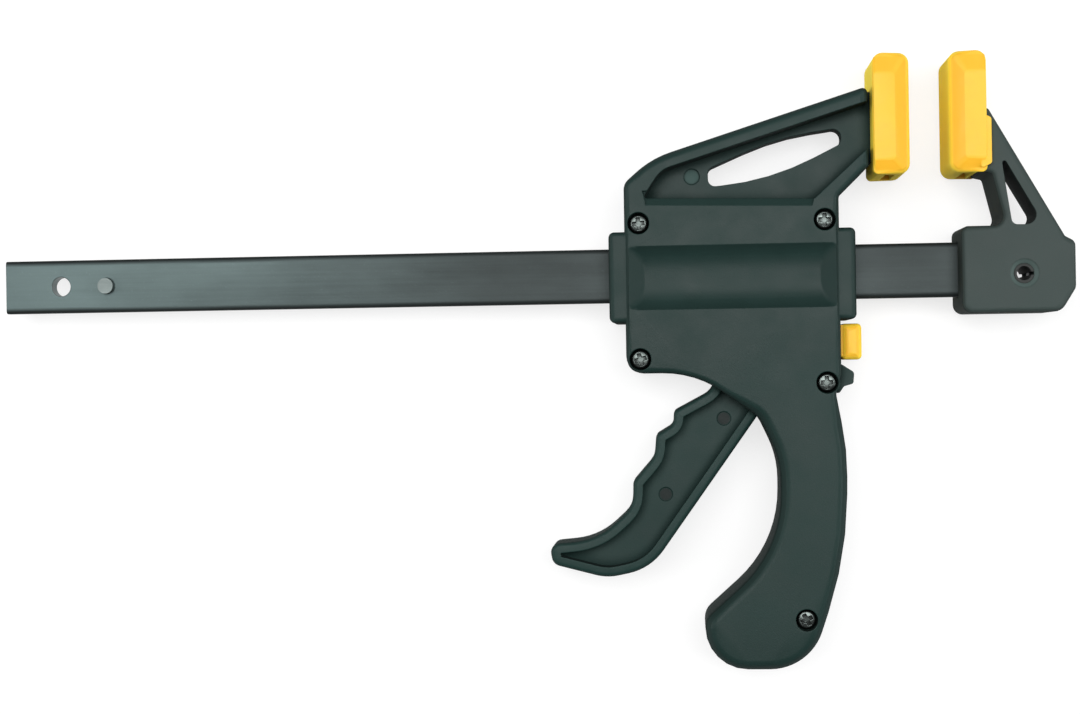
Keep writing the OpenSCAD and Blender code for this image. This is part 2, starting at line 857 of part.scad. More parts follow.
// Rolled spring pin, slit along its length
module jaw_roll_pin() {
    color(pin_steel)
        difference() {
            post(roll_pin_place, roll_pin_d / 2, jaw_low + roll_sink - 0.2, jaw_high - roll_sink + 0.2);
            post(roll_pin_place, roll_pin_d / 2 - roll_pin_wall, jaw_low, jaw_high);
            translate(roll_pin_place)
                box([0, -0.5, jaw_low], [roll_pin_d, 0.5, jaw_high]);
        }
}

// ---- Trigger and drive ----------------------------------------------------------------------

// Marks of the mould's ejector pins in the hollow
trigger_marks = [pivot + [-7, -20], pivot + [-25.6, -43.6]];
mark_r = 2.2;
mark_depth = 0.4;

trigger_low = mid - trigger_thick / 2;
trigger_high = mid + trigger_thick / 2;
hub_r = 7;

module trigger() {
    color(grip_green)
        difference() {
            union() {
                soft_slab(trigger_path, trigger_low, trigger_high, 2);
                post(pivot, hub_r, trigger_low, trigger_high);
                // Arm and nose that push the drive plates
                translate([pivot.x, pivot.y, trigger_low])
                    rotate([0, 0, -nose_lean])
                        translate([-0.8 * nose_r, 0, 0])
                            cube([1.6 * nose_r, nose_reach, trigger_thick]);
                post(nose, nose_r, trigger_low, trigger_high);
            }
            difference() {
                union() {
                    outline_plate(trigger_path, trigger_low - past, trigger_low + trigger_hollow, trigger_rim);
                    outline_plate(trigger_path, trigger_high - trigger_hollow, trigger_high + past, trigger_rim);
                }
                post(pivot, hub_r + 2, 0, face);
            }
            for (place = trigger_marks)
                post(place, mark_r, trigger_high - trigger_hollow - mark_depth, face);
            post(pivot, pivot_pin_d / 2 + pin_gap, -past, face + past);
        }
}

module trigger_pivot_pin() {
    color(pin_steel)
        post(pivot, pivot_pin_d / 2, 2 + hold_gap, face - 2 - hold_gap);
}

module drive_plate(x) {
    color(spring_steel)
        difference() {
            box([x, drive_low, mid - drive_half], [x + drive_plate_thick, drive_top, mid + drive_half]);
            box(
                [x - past, bar_low - slide_gap, mid - bar_thick / 2 - slide_gap],
                [x + drive_plate_thick + past, bar_top + slide_gap, mid + bar_thick / 2 + slide_gap]
            );
        }
}

// ---- Springs --------------------------------------------------------------------------------

// Share of the spring's height at t turns, with one closed turn at each end
function coil_rise(t, turns, wire, height) =
    t < 1 ? t * wire :
    t > turns - 1 ? height - wire - (turns - t) * wire :
    wire + (t - 1) * (height - 3 * wire) / (turns - 2);

// Compression spring along +X from x = 0
module coil_spring(r, wire, height, turns, per_turn = 16, sides = 8) {
    rings = per_turn * turns;
    points = [
        for (k = [0 : rings])
            let (a = 360 * k / per_turn, x = wire / 2 + coil_rise(k / per_turn, turns, wire * 1.04, height))
            for (s = [0 : sides - 1])
                let (b = 360 * s / sides, q = r + wire / 2 * cos(b))
                [x + wire / 2 * sin(b), q * cos(a), q * sin(a)]
    ];
    polyhedron(
        points = points,
        faces = concat(
            [[for (s = [0 : sides - 1]) s]],
            [[for (s = [sides - 1 : -1 : 0]) rings * sides + s]],
            [
                for (k = [0 : rings - 1])
                    for (s = [0 : sides - 1])
                        let (
                            a = k * sides + s,
                            b = k * sides + (s + 1) % sides,
                            c = b + sides,
                            d = a + sides
                        )
                        each [[a, d, c], [a, c, b]]
            ]
        )
    );
}

module drive_spring() {
    color(spring_steel)
        translate([drive_seat + fit_gap, 0, mid])
            coil_spring(drive_spring_r, drive_wire, drive_left - drive_seat - 2 * fit_gap, drive_turns);
}

// ---- Brake and release ----------------------------------------------------------------------

module at_brake_tilt() {
    translate([brake_pivot.x, brake_pivot.y, mid])
        rotate([0, 0, brake_tilt])
            children();
}

brake_reach = (brake_pivot.y - brake_low) / cos(brake_tilt);
brake_half = 7;

module brake_lever() {
    bar_line = brake_pivot.y / cos(brake_tilt);
    hole = bar_top / cos(brake_tilt) + brake_thick / 2 * tan(brake_tilt) + fit_gap;
    color(spring_steel)
        at_brake_tilt()
            difference() {
                box([-brake_thick / 2, -brake_reach, -brake_half], [brake_thick / 2, brake_head, brake_half]);
                box(
                    [-brake_thick, -bar_line - hole, -bar_thick / 2 - slide_gap],
                    [brake_thick, -bar_line + hole, bar_thick / 2 + slide_gap]
                );
            }
}

module release_button() {
    cap = [
        [body_right + 0.6, button_low, 1, 2.2],
        [button_right, button_low, 1.4, 1.8],
        [button_right, button_top, 1.4, 1.8],
        [body_right + 0.6, button_top, 1, 2.2],
    ];
    color(pad_yellow)
        difference() {
            union() {
                soft_slab(cap, mid - button_width / 2, mid + button_width / 2, 2.8);
                box(
                    [brake_pivot.x + 0.5, button_low + 1, mid - button_width / 2 + 1],
                    [body_right + 2, button_top - 0.4, mid + button_width / 2 - 1]
                );
            }
            at_brake_tilt()
                box(
                    [-brake_thick / 2 - fit_gap, -brake_reach - fit_gap, -brake_half - fit_gap],
                    [brake_thick / 2 + fit_gap, 0, brake_half + fit_gap]
                );
        }
}

module brake_spring() {
    plate_x = brake_pivot.x + (brake_pivot.y - brake_spring_y) * tan(brake_tilt)
        - brake_thick / 2 / cos(brake_tilt) - brake_spring_d / 2 * tan(brake_tilt);
    color(spring_steel)
        translate([brake_rib + fit_gap, brake_spring_y, mid])
            coil_spring((brake_spring_d - brake_wire) / 2, brake_wire, plate_x - brake_rib - 2 * fit_gap,
                brake_turns, 12, 6);
}

// ---- Screws ---------------------------------------------------------------------------------

module shell_screw(place) {
    blade = 0.9;
    reach = head_d * 0.3;
    color(screw_black)
        translate([place.x, place.y, head_seat])
            difference() {
                union() {
                    rotate_extrude()
                        polygon(concat(
                            [[0, 0], [head_d / 2, 0], [head_d / 2, head_h * 0.4]],
                            [for (a = [20 : 14 : 90]) [head_d / 2 * cos(a), head_h * (0.4 + 0.6 * sin(a))]],
                            [[0, head_h]]
                        ));
                    translate([0, 0, -screw_length])
                        cylinder(d = screw_d, h = screw_length + bite);
                }
                for (turn = [0, 90])
                    rotate([0, 0, turn + 45])
                        box([-reach, -blade / 2, head_h * 0.35], [reach, blade / 2, head_h + past]);
                translate([0, 0, head_h * 0.35])
                    cylinder(r1 = blade * 0.7, r2 = blade * 1.3, h = head_h);
            }
}

front_shell();
back_shell();
moving_jaw_pad();
fixed_jaw_pad();
bar();
fixed_jaw();
jaw_roll_pin();
bar_stop_pin();
trigger();
trigger_pivot_pin();
drive_plate(drive_left);  // drive_plate_1
drive_plate(drive_right - drive_plate_thick);  // drive_plate_2
drive_spring();
brake_lever();
release_button();
brake_spring();
shell_screw(screw_places[0]);  // shell_screw_1
shell_screw(screw_places[1]);  // shell_screw_2
shell_screw(screw_places[2]);  // shell_screw_3
shell_screw(screw_places[3]);  // shell_screw_4
shell_screw(screw_places[4]);  // shell_screw_5
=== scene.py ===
"""Finishes, fine pieces and studio for a quick release bar clamp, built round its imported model."""
import json
import math

import bmesh
import bpy
from bpy.props import FloatProperty, FloatVectorProperty, IntProperty, PointerProperty
from mathutils import Matrix, Vector


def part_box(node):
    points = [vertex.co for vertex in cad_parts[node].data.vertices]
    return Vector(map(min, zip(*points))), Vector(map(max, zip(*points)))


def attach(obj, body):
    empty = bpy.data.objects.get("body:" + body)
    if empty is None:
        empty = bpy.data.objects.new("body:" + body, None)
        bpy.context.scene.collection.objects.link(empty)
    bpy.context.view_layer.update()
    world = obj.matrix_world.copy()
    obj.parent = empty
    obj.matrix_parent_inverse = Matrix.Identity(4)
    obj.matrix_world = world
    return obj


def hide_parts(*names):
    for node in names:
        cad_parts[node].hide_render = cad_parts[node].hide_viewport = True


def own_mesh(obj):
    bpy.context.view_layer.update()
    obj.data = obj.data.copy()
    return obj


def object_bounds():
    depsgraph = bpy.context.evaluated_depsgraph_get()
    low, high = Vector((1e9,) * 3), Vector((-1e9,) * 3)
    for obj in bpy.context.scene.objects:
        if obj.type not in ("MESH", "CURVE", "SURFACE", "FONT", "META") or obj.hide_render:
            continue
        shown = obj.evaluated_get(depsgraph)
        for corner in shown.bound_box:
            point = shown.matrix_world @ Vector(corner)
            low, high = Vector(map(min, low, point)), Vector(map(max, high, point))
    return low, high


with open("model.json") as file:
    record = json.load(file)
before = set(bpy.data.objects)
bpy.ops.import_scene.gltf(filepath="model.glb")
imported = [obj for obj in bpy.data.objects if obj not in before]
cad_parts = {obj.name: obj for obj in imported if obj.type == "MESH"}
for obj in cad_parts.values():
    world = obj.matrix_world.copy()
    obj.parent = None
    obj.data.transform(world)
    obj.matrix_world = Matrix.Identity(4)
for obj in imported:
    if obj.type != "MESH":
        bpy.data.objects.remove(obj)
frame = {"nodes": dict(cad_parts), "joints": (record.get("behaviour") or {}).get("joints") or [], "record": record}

bl_info = {
    "name": "Quick Release Bar Clamp",
    "version": (1, 0, 0),
    "blender": (4, 5, 0),
    "location": "View3D > Sidebar > Bar Clamp",
    "description": "Dresses the clamp's pieces with their finishes and sets up a plain studio",
    "category": "Object",
}

MM = 0.001
MERGE = 0.002 * MM
# Shading: faces in one plane, edges that are always sharp, and the width of a broad flat
SAME_PLANE = math.radians(1)
SHARP = math.radians(34)
BROAD = 2.2 * MM
CAD_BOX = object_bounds()
SCREW_NODES = sorted(n for n in frame["nodes"] if n.startswith("shell_screw_"))

# Masks, as the value at which each starts and the value at which it is full: how upright a wall and
# a slope stand (Z of the normal), how open a hollow is, and how far an edge's rounding turns the normal
# The wall, slope and hollow masks place painted shade, and on the pads a painted light on the walls
WALL_RANGE = (0.93, 0.45)
SLOPE_RANGE = (0.995, 0.93)
HOLLOW_RANGE = (0.85, 0.35)
RUB_RANGE = (0.995, 0.80)
# Distance over which a round spot fades in from its rim, for the ejector marks and the painted highlight on the
# jaw's sink
MARK_FADE = 0.6 * MM
# Walls and hollows of moulded plastic: share of the colour that is left there, which is painted shade, and their
# matt roughness
PAINTED_SHADE_TONE = 0.55
MATT_ROUGHNESS = 0.95
# Heights of the fine relief
PLASTIC_RELIEF = 0.02 * MM
SOFT_RELIEF = 0.012 * MM
BAR_RELIEF = 0.01 * MM
GROUND_RELIEF = 0.006 * MM
SCREW_RELIEF = 0.003 * MM


# ---- Settings -------------------------------------------------------------------------------

def length_setting(name, description, default, low, high):
    """A size in metres, shown in the scene's unit."""
    return FloatProperty(
        name=name, description=description, default=default * MM, min=low * MM, max=high * MM,
        unit="LENGTH", precision=5,
    )


def colour_setting(name, description, default):
    """A colour in linear light."""
    return FloatVectorProperty(
        name=name, description=description, default=default, min=0.0, max=1.0, size=3, subtype="COLOR",
    )


class ClampFinishSettings(bpy.types.PropertyGroup):
    """Colours and surface of the clamp's materials."""

    housing: colour_setting("Housing", "Moulded plastic of the housing", (0.0095, 0.0275, 0.0240))
    trigger: colour_setting("Trigger", "Moulded plastic of the trigger", (0.0100, 0.0330, 0.0285))
    jaw: colour_setting("Fixed jaw", "Moulded plastic of the fixed jaw", (0.038, 0.055, 0.051))
    pad: colour_setting("Pads", "Soft plastic of the jaw pads and the button", (0.93, 0.56, 0.045))
    bar: colour_setting("Bar", "Phosphated steel of the bar", (0.073, 0.104, 0.103))
    pin: colour_setting("Pivot pin", "Bright steel of the trigger's pivot pin", (0.62, 0.63, 0.62))
    roll_pin: colour_setting("Roll pin", "Dark spring steel of the roll pin", (0.030, 0.034, 0.032))
    stop_pin: colour_setting("Stop pin", "Dull steel of the stop pin", (0.15, 0.175, 0.17))
    plate: colour_setting("Plates", "Hardened steel of the plates and springs", (0.36, 0.37, 0.37))
    screw: colour_setting("Screws", "Blackened steel of the screws", (0.085, 0.100, 0.095))
    grain: length_setting("Grain", "Pitch of the grain in the moulded faces", 0.35, 0.1, 2.0)
    edge: length_setting("Edge", "Radius of the fine rounding on moulded edges", 0.4, 0.05, 1.0)


class ClampScrewSettings(bpy.types.PropertyGroup):
    """Sizes of the shell screws."""

    head_height: length_setting("Head height", "Height of a screw's head", 2.2, 1.6, 2.4)
    shank_diameter: length_setting("Shank", "Diameter of a screw's shank", 3.0, 2.5, 3.5)
    slot_width: length_setting("Slot width", "Width of one arm of the cross recess", 1.2, 0.6, 1.4)
    slot_depth: length_setting("Slot depth", "Depth of the cross recess", 1.6, 0.8, 1.8)
    turn_seed: IntProperty(
        name="Turn seed", description="Seed of the angles the screws stopped at",
        default=5, min=0, max=100,
    )


class ClampSpringSettings(bpy.types.PropertyGroup):
    """Sizes of the two springs."""

    drive_wire: length_setting("Drive wire", "Wire of the drive spring", 1.2, 0.8, 1.3)
    drive_turns: IntProperty(
        name="Drive turns", description="Turns of the drive spring", default=6, min=4, max=8,
    )
    brake_wire: length_setting("Brake wire", "Wire of the brake spring", 0.8, 0.5, 1.0)
    brake_turns: IntProperty(
        name="Brake turns", description="Turns of the brake spring", default=5, min=4, max=7,
    )


class ClampStageSettings(bpy.types.PropertyGroup):
    """Camera, lamps and floor."""

    eye: FloatVectorProperty(
        name="Eye", description="Where the camera stands", size=3,
        default=(-0.013298, -0.025884, 0.614), subtype="TRANSLATION", unit="LENGTH",
    )
    target: FloatVectorProperty(
        name="Target", description="Point at the middle of the picture", size=3,
        default=(-0.060790, -0.025119, 0.014), subtype="TRANSLATION", unit="LENGTH",
    )
    roll: FloatProperty(
        name="Roll", description="Turn of the camera about its own axis",
        default=math.radians(-0.92), subtype="ANGLE",
    )
    focal_pixels: FloatProperty(
        name="Focal length", description="Focal length in pixels of a 1080 wide picture",
        default=1894.8, min=500.0, max=5000.0,
    )
    key: FloatProperty(
        name="Key", description="Power of the wide lamp overhead", default=18.4, min=0.0,
        subtype="POWER",
    )
    strip: FloatProperty(
        name="Strips", description="Power of each narrow lamp at the sides", default=3.5, min=0.0,
        subtype="POWER",
    )
    ambient: FloatProperty(
        name="Ambient", description="Strength of the light from all round", default=0.2, min=0.0,
        max=2.0,
    )


# ---- Node trees -----------------------------------------------------------------------------

class Graph:
    """Adds the nodes of one tree and joins them."""

    def __init__(self, tree):
        self.tree = tree

    def node(self, kind, inputs=None, **settings):
        made = self.tree.nodes.new(kind)
        for name, value in settings.items():
            setattr(made, name, value)
        for key, value in (inputs or {}).items():
            self.feed(made.inputs[key], value)
        return made

    def feed(self, socket, value):
        if isinstance(value, bpy.types.NodeSocket):
            self.tree.links.new(value, socket)
        else:
            socket.default_value = value

    def math(self, operation, a, b=0.0, clamp=False):
        made = self.node("ShaderNodeMath", {0: a, 1: b}, operation=operation, use_clamp=clamp)
        return made.outputs[0]

    def times(self, a, b):
        return self.math("MULTIPLY", a, b)

    def mix(self, factor, a, b):
        return self.node("ShaderNodeMix", {"Factor": factor, "A": a, "B": b}).outputs["Result"]

    def vector(self, x=0.0, y=0.0, z=0.0):
        return self.node("ShaderNodeCombineXYZ", {0: x, 1: y, 2: z}).outputs[0]

    def place(self):
        """The shaded point in its object's own frame."""
        return self.node("ShaderNodeTexCoord").outputs["Object"]

    def remap(self, value, low, high, to_low=0.0, to_high=1.0):
        return self.node("ShaderNodeMapRange", {
            "Value": value, "From Min": low, "From Max": high, "To Min": to_low, "To Max": to_high,
        }).outputs["Result"]

    def blend(self, factor, a, b, mode="MIX"):
        made = self.node("ShaderNodeMix", data_type="RGBA", blend_type=mode)
        for socket in made.inputs:
            if socket.name == "Factor" and socket.type == "VALUE":
                self.feed(socket, factor)
            elif socket.name in ("A", "B") and socket.type == "RGBA":
                self.feed(socket, a if socket.name == "A" else b)
        return next(s for s in made.outputs if s.type == "RGBA")

    def noise(self, vector, scale, detail=2.0, roughness=0.5):
        return self.node("ShaderNodeTexNoise", {
            "Vector": vector, "Scale": scale, "Detail": detail, "Roughness": roughness,
        }).outputs["Fac"]


def new_group(name, kind, inputs, outputs):
    """A node group from its inputs, (name, type, default) each, and outputs, (name, type) each."""
    tree = bpy.data.node_groups.new(name, kind)
    for label, socket_type, default in inputs:
        socket = tree.interface.new_socket(label, in_out="INPUT", socket_type=socket_type)
        if default is not None:
            socket.default_value = default
    for label, socket_type in outputs:
        tree.interface.new_socket(label, in_out="OUTPUT", socket_type=socket_type)
    graph = Graph(tree)
    return graph, graph.node("NodeGroupInput").outputs, graph.node("NodeGroupOutput").inputs


def moulded_grain_group():
    """Spark-eroded grain with slow flow marks, as on moulded plastic."""
    graph, given, out = new_group(
        "Moulded grain", "ShaderNodeTree",
        [("Pitch", "NodeSocketFloat", 0.00035), ("Flow", "NodeSocketFloat", 18.0)],
        [("Height", "NodeSocketFloat"), ("Mottle", "NodeSocketFloat"), ("Gloss", "NodeSocketFloat")],
    )
    place = graph.place()
    scale = graph.math("DIVIDE", 1.0, given["Pitch"])
    pits = graph.node("ShaderNodeTexVoronoi", {"Vector": place, "Scale": scale, "Randomness": 1.0})
    fine = graph.noise(place, graph.times(scale, 0.6), 3.0, 0.6)
    height = graph.math("ADD", graph.times(pits.outputs["Distance"], 0.6), fine)
    graph.feed(out["Height"], height)
    stretched = graph.node("ShaderNodeMapping", {"Vector": place, "Scale": (0.5, 1.0, 1.0)}).outputs[0]
    slow = graph.noise(stretched, given["Flow"], 4.0, 0.55)
    patches = graph.noise(place, graph.times(given["Flow"], 5.0), 3.0, 0.6)
    slow_part = graph.times(slow, 0.65)
    mottle = graph.math("ADD", slow_part, graph.times(patches, 0.35))
    graph.feed(out["Mottle"], graph.remap(mottle, 0.3, 0.7))
    graph.feed(out["Gloss"], graph.remap(patches, 0.3, 0.75))
    return graph.tree


def edge_rub_group():
    """Small rounding of sharp edges, and a mask of the edges that hands and the bench have rubbed."""
    graph, given, out = new_group(
        "Edge rub", "ShaderNodeTree",
        [("Width", "NodeSocketFloat", 0.0004), ("Breakup", "NodeSocketFloat", 260.0)],
        [("Mask", "NodeSocketFloat"), ("Normal", "NodeSocketVector")],
    )
    rounded = graph.node("ShaderNodeBevel", {"Radius": given["Width"]}, samples=8).outputs[0]
    true_normal = graph.node("ShaderNodeNewGeometry").outputs["Normal"]
    along = graph.node("ShaderNodeVectorMath", {0: rounded, 1: true_normal}, operation="DOT_PRODUCT")
    turn = graph.remap(along.outputs["Value"], *RUB_RANGE)
    place = graph.place()
    broken = graph.remap(graph.noise(place, given["Breakup"], 4.0, 0.65), 0.38, 0.62)
    graph.feed(out["Mask"], graph.math("MULTIPLY", turn, broken, clamp=True))
    graph.feed(out["Normal"], rounded)
    return graph.tree


def shaded_faces_group():
    """Masks of walls square to the parting plane, of gentler slopes, and of hollows that light reaches less, which
    place painted shade and painted light.
    """
    graph, given, out = new_group(
        "Shaded faces", "ShaderNodeTree",
        [("Reach", "NodeSocketFloat", 0.004)],
        [("Walls", "NodeSocketFloat"), ("Slopes", "NodeSocketFloat"), ("Hollows", "NodeSocketFloat")],
    )
    facing = graph.node("ShaderNodeNewGeometry").outputs["True Normal"]
    upright = graph.math("ABSOLUTE", graph.node("ShaderNodeSeparateXYZ", {0: facing}).outputs["Z"])
    graph.feed(out["Walls"], graph.remap(upright, *WALL_RANGE))
    graph.feed(out["Slopes"], graph.remap(upright, *SLOPE_RANGE))
    sky = graph.node("ShaderNodeAmbientOcclusion", {"Distance": given["Reach"]}, samples=6)
    graph.feed(out["Hollows"], graph.remap(sky.outputs["AO"], *HOLLOW_RANGE))
    return graph.tree


def round_spot_group():
    """Mask of a round spot: the mark that a mould's ejector pin leaves, and the painted highlight on the jaw's
    sink.
    """
    graph, given, out = new_group(
        "Ejector mark", "ShaderNodeTree",
        [("Centre", "NodeSocketVector", (0.0, 0.0, 0.0)), ("Radius", "NodeSocketFloat", 0.0022)],
        [("Mask", "NodeSocketFloat")],
    )
    place = graph.place()
    level = graph.node("ShaderNodeVectorMath", {0: place, 1: (1.0, 1.0, 0.0)}, operation="MULTIPLY")
    away = graph.node("ShaderNodeVectorMath", {
        0: level.outputs[0], 1: given["Centre"],
    }, operation="DISTANCE")
    beyond = graph.math("SUBTRACT", away.outputs["Value"], given["Radius"])
    graph.feed(out["Mask"], graph.remap(beyond, 0.0, -MARK_FADE))
    return graph.tree


def drawn_steel_group():
    """Streaks along X, cloudy scale and small marks, as on drawn and phosphated flat bar."""
    graph, given, out = new_group(
        "Drawn steel", "ShaderNodeTree",
        [("Streak", "NodeSocketFloat", 900.0), ("Cloud", "NodeSocketFloat", 30.0)],
        [("Streaks", "NodeSocketFloat"), ("Clouds", "NodeSocketFloat"), ("Specks", "NodeSocketFloat"),
         ("Height", "NodeSocketFloat")],
    )
    place = graph.place()
    drawn = graph.node("ShaderNodeMapping", {"Vector": place, "Scale": (0.02, 1.0, 1.0)}).outputs[0]
    streaks = graph.noise(drawn, given["Streak"], 4.0, 0.6)
    soft = graph.node("ShaderNodeMapping", {"Vector": place, "Scale": (0.4, 1.0, 1.0)}).outputs[0]
    clouds = graph.noise(soft, given["Cloud"], 5.0, 0.6)
    specks = graph.noise(place, graph.times(given["Streak"], 1.6), 2.0, 0.7)
    graph.feed(out["Streaks"], graph.remap(streaks, 0.32, 0.68))
    graph.feed(out["Clouds"], graph.remap(clouds, 0.33, 0.67))
    graph.feed(out["Specks"], graph.remap(specks, 0.62, 0.78))
    graph.feed(out["Height"], graph.math("ADD", graph.times(streaks, 0.7), specks))
    return graph.tree


GROUP_MAKERS = {
    "Moulded grain": moulded_grain_group,
    "Edge rub": edge_rub_group,
    "Shaded faces": shaded_faces_group,
    "Ejector mark": round_spot_group,
    "Drawn steel": drawn_steel_group,
}


def shared_group(name):
    """The named effect's group, built the first time that a material needs it."""
    return bpy.data.node_groups.get(name) or GROUP_MAKERS[name]()


def with_alpha(colour, gain=1.0):
    return tuple(min(1.0, c * gain) for c in colour) + (1.0,)


def new_material(name, **constants):
    """A material whose Principled BSDF has these plain values, with its graph and shader."""
    material = bpy.data.materials.new(name)
    material.use_nodes = True
    tree = material.node_tree
    shader = tree.nodes["Principled BSDF"]
    for label, value in constants.items():
        shader.inputs[label.replace("_", " ")].default_value = value
    return material, Graph(tree), shader


def effect(graph, name, **inputs):
    made = graph.node("ShaderNodeGroup", node_tree=shared_group(name))
    for label, value in inputs.items():
        graph.feed(made.inputs[label], value)
    return made.outputs


def bump(graph, shader, height, distance, normal=None):
    made = graph.node("ShaderNodeBump", {"Height": height, "Distance": distance})
    if normal is not None:
        graph.feed(made.inputs["Normal"], normal)
    graph.feed(shader.inputs["Normal"], made.outputs[0])


def moulded_plastic(name, colour, grain, edge, gloss=(0.42, 0.54), rub=1.7, reach=0.004,
                    marks=(), spot_tone=1.0):
    """Grained plastic: mottled by flow, rubbed lighter on its edges, with its ejector marks, round painted
    highlights where asked, and painted shade on its walls and hollows.
    """
    material, graph, shader = new_material(name, IOR=1.46, Specular_IOR_Level=0.24)
    skin = effect(graph, "Moulded grain", Pitch=grain)
    edges = effect(graph, "Edge rub", Width=edge)
    shade = effect(graph, "Shaded faces", Reach=reach)
    mottled = graph.blend(skin["Mottle"], with_alpha(colour, 0.84), with_alpha(colour, 1.16))
    share = graph.times(edges["Mask"], 0.4)
    rubbed = graph.blend(share, mottled, with_alpha(colour, rub))
    # Round spots: the ejector marks, and on the fixed jaw a painted highlight on the sink round the roll pin
    for x, y, radius in marks:
        spot = effect(graph, "Ejector mark", Centre=(x * MM, y * MM, 0.0), Radius=radius * MM)
        rubbed = graph.blend(spot["Mask"], rubbed, with_alpha(colour, spot_tone))
    # Painted shade: walls and hollows get a darker colour, and are also made matt
    shade_and_matt = graph.math("MAXIMUM", shade["Walls"], shade["Hollows"])
    graph.feed(shader.inputs["Base Color"], graph.blend(shade_and_matt, rubbed, with_alpha(colour, PAINTED_SHADE_TONE)))
    even = graph.remap(skin["Gloss"], 0.0, 1.0, *gloss)
    graph.feed(shader.inputs["Roughness"], graph.mix(shade_and_matt, even, MATT_ROUGHNESS))
    bump(graph, shader, skin["Height"], PLASTIC_RELIEF, edges["Normal"])
    return material


def soft_plastic(name, colour, grain, edge):
    """Soft satin plastic of the pads: light passes a little way into it and its corners glow, its walls carry a
    painted light and its slopes and hollows a painted shade.
    """
    material, graph, shader = new_material(
        name, IOR=1.45, Specular_IOR_Level=0.3, Subsurface_Weight=0.15,
        Subsurface_Radius=(0.002, 0.001, 0.0003), Subsurface_Scale=1.0,
    )
    skin = effect(graph, "Moulded grain", Pitch=grain, Flow=45.0)
    edges = effect(graph, "Edge rub", Width=edge)
    deep = (colour[0] * 0.95, colour[1] * 0.9, colour[2] * 0.75, 1.0)
    mottled = graph.blend(skin["Mottle"], deep, with_alpha(colour, 1.04))
    share = graph.times(edges["Mask"], 0.35)
    pale = (min(1.0, colour[0] * 1.06), min(1.0, colour[1] * 1.2), colour[2] * 2.2, 1.0)
    shade = effect(graph, "Shaded faces")
    walls = shade["Walls"]
    # Painted shade: slopes and hollows get a deeper, darker yellow
    slope_shade = (colour[0] * 0.94, colour[1] * 0.80, colour[2] * 0.45, 1.0)
    toned = graph.blend(graph.math("MAXIMUM", shade["Slopes"], shade["Hollows"]), mottled, slope_shade)
    rubbed = graph.blend(share, toned, pale)
    # Painted light: walls get a lighter, warmer yellow, and are made matt
    wall_light = (1.0, min(1.0, colour[1] * 1.35), colour[2] * 1.4, 1.0)
    graph.feed(shader.inputs["Base Color"], graph.blend(walls, rubbed, wall_light))
    even = graph.remap(skin["Gloss"], 0.0, 1.0, 0.38, 0.52)
    graph.feed(shader.inputs["Roughness"], graph.mix(walls, even, 0.9))
    bump(graph, shader, skin["Height"], SOFT_RELIEF, edges["Normal"])
    return material


def phosphated_steel(name, colour, low, high):
    """Dark flat bar: phosphate clouds and drawn streaks, with painted shade along its edges and a painted sheen
    that is palest at its free end.
    """
    material, graph, shader = new_material(name, IOR=1.5, Metallic=0.55)
    metal = effect(graph, "Drawn steel")
    edges = effect(graph, "Edge rub", Width=0.0005, Breakup=120.0)
    place = graph.node("ShaderNodeSeparateXYZ", {0: graph.place()}).outputs
    length, half = high.x - low.x, (high.y - low.y) / 2
    # Painted sheen: the colour is palest near the free end and darkens up to the bar's middle
    free_end_sheen = graph.remap(place["X"], low.x + 0.08 * length, low.x + 0.48 * length, 1.0, 0.27)
    # The edge mask darkens the colour along the bar's long edges as painted shade, and makes them matt
    off_middle = graph.math("ABSOLUTE", graph.math("SUBTRACT", place["Y"], (low.y + high.y) / 2))
    wander = graph.times(metal["Clouds"], 0.06 * half)
    scale = graph.remap(graph.math("ADD", off_middle, wander), 0.83 * half, 0.98 * half)
    cloudy = graph.blend(metal["Clouds"], with_alpha(colour, 0.78), with_alpha(colour, 1.18))
    streaks = graph.times(metal["Streaks"], 0.28)
    streaked = graph.blend(streaks, cloudy, with_alpha(colour, 1.5))
    specks = graph.times(metal["Specks"], 0.25)
    specked = graph.blend(specks, streaked, with_alpha(colour, 2.2))
    toned = graph.node("ShaderNodeVectorMath", {0: specked, "Scale": free_end_sheen}, operation="SCALE")
    graph.feed(shader.inputs["Base Color"],
               graph.blend(scale, toned.outputs[0], with_alpha(colour, 0.16)))
    even = graph.remap(metal["Clouds"], 0.0, 1.0, 0.5, 0.4)
    graph.feed(shader.inputs["Roughness"], graph.mix(scale, even, 0.8))
    bump(graph, shader, metal["Height"], BAR_RELIEF, edges["Normal"])
    return material


def bright_steel(name, colour, gloss=(0.22, 0.36), metallic=1.0):
    """Ground or hardened steel with fine marks, less metallic where it is oiled black."""
    material, graph, shader = new_material(name, Metallic=metallic)
    metal = effect(graph, "Drawn steel", Streak=1500.0, Cloud=160.0)
    clouded = graph.blend(metal["Clouds"], with_alpha(colour, 0.82), with_alpha(colour, 1.1))
    graph.feed(shader.inputs["Base Color"], clouded)
    graph.feed(shader.inputs["Roughness"], graph.remap(metal["Streaks"], 0.0, 1.0, *gloss))
    bump(graph, shader, metal["Height"], GROUND_RELIEF)
    return material


def blackened_steel(name, colour):
    """Blackened screw: dark oxide, with rubbed edges and painted shade in its cross recess."""
    material, graph, shader = new_material(name, Metallic=0.9)
    metal = effect(graph, "Drawn steel", Streak=2200.0, Cloud=300.0)
    edges = effect(graph, "Edge rub", Width=0.00035, Breakup=500.0)
    dark = graph.blend(metal["Clouds"], with_alpha(colour, 0.7), with_alpha(colour, 1.4))
    rubbed = graph.blend(edges["Mask"], dark, with_alpha(colour, 1.6))
    # Painted shade: the cross recess and other hollows get a much darker colour
    hollow = effect(graph, "Shaded faces", Reach=0.0016)["Hollows"]
    graph.feed(shader.inputs["Base Color"], graph.blend(hollow, rubbed, with_alpha(colour, 0.12)))
    graph.feed(shader.inputs["Roughness"], graph.remap(metal["Streaks"], 0.0, 1.0, 0.24, 0.34))
    bump(graph, shader, metal["Height"], SCREW_RELIEF, edges["Normal"])
    return material


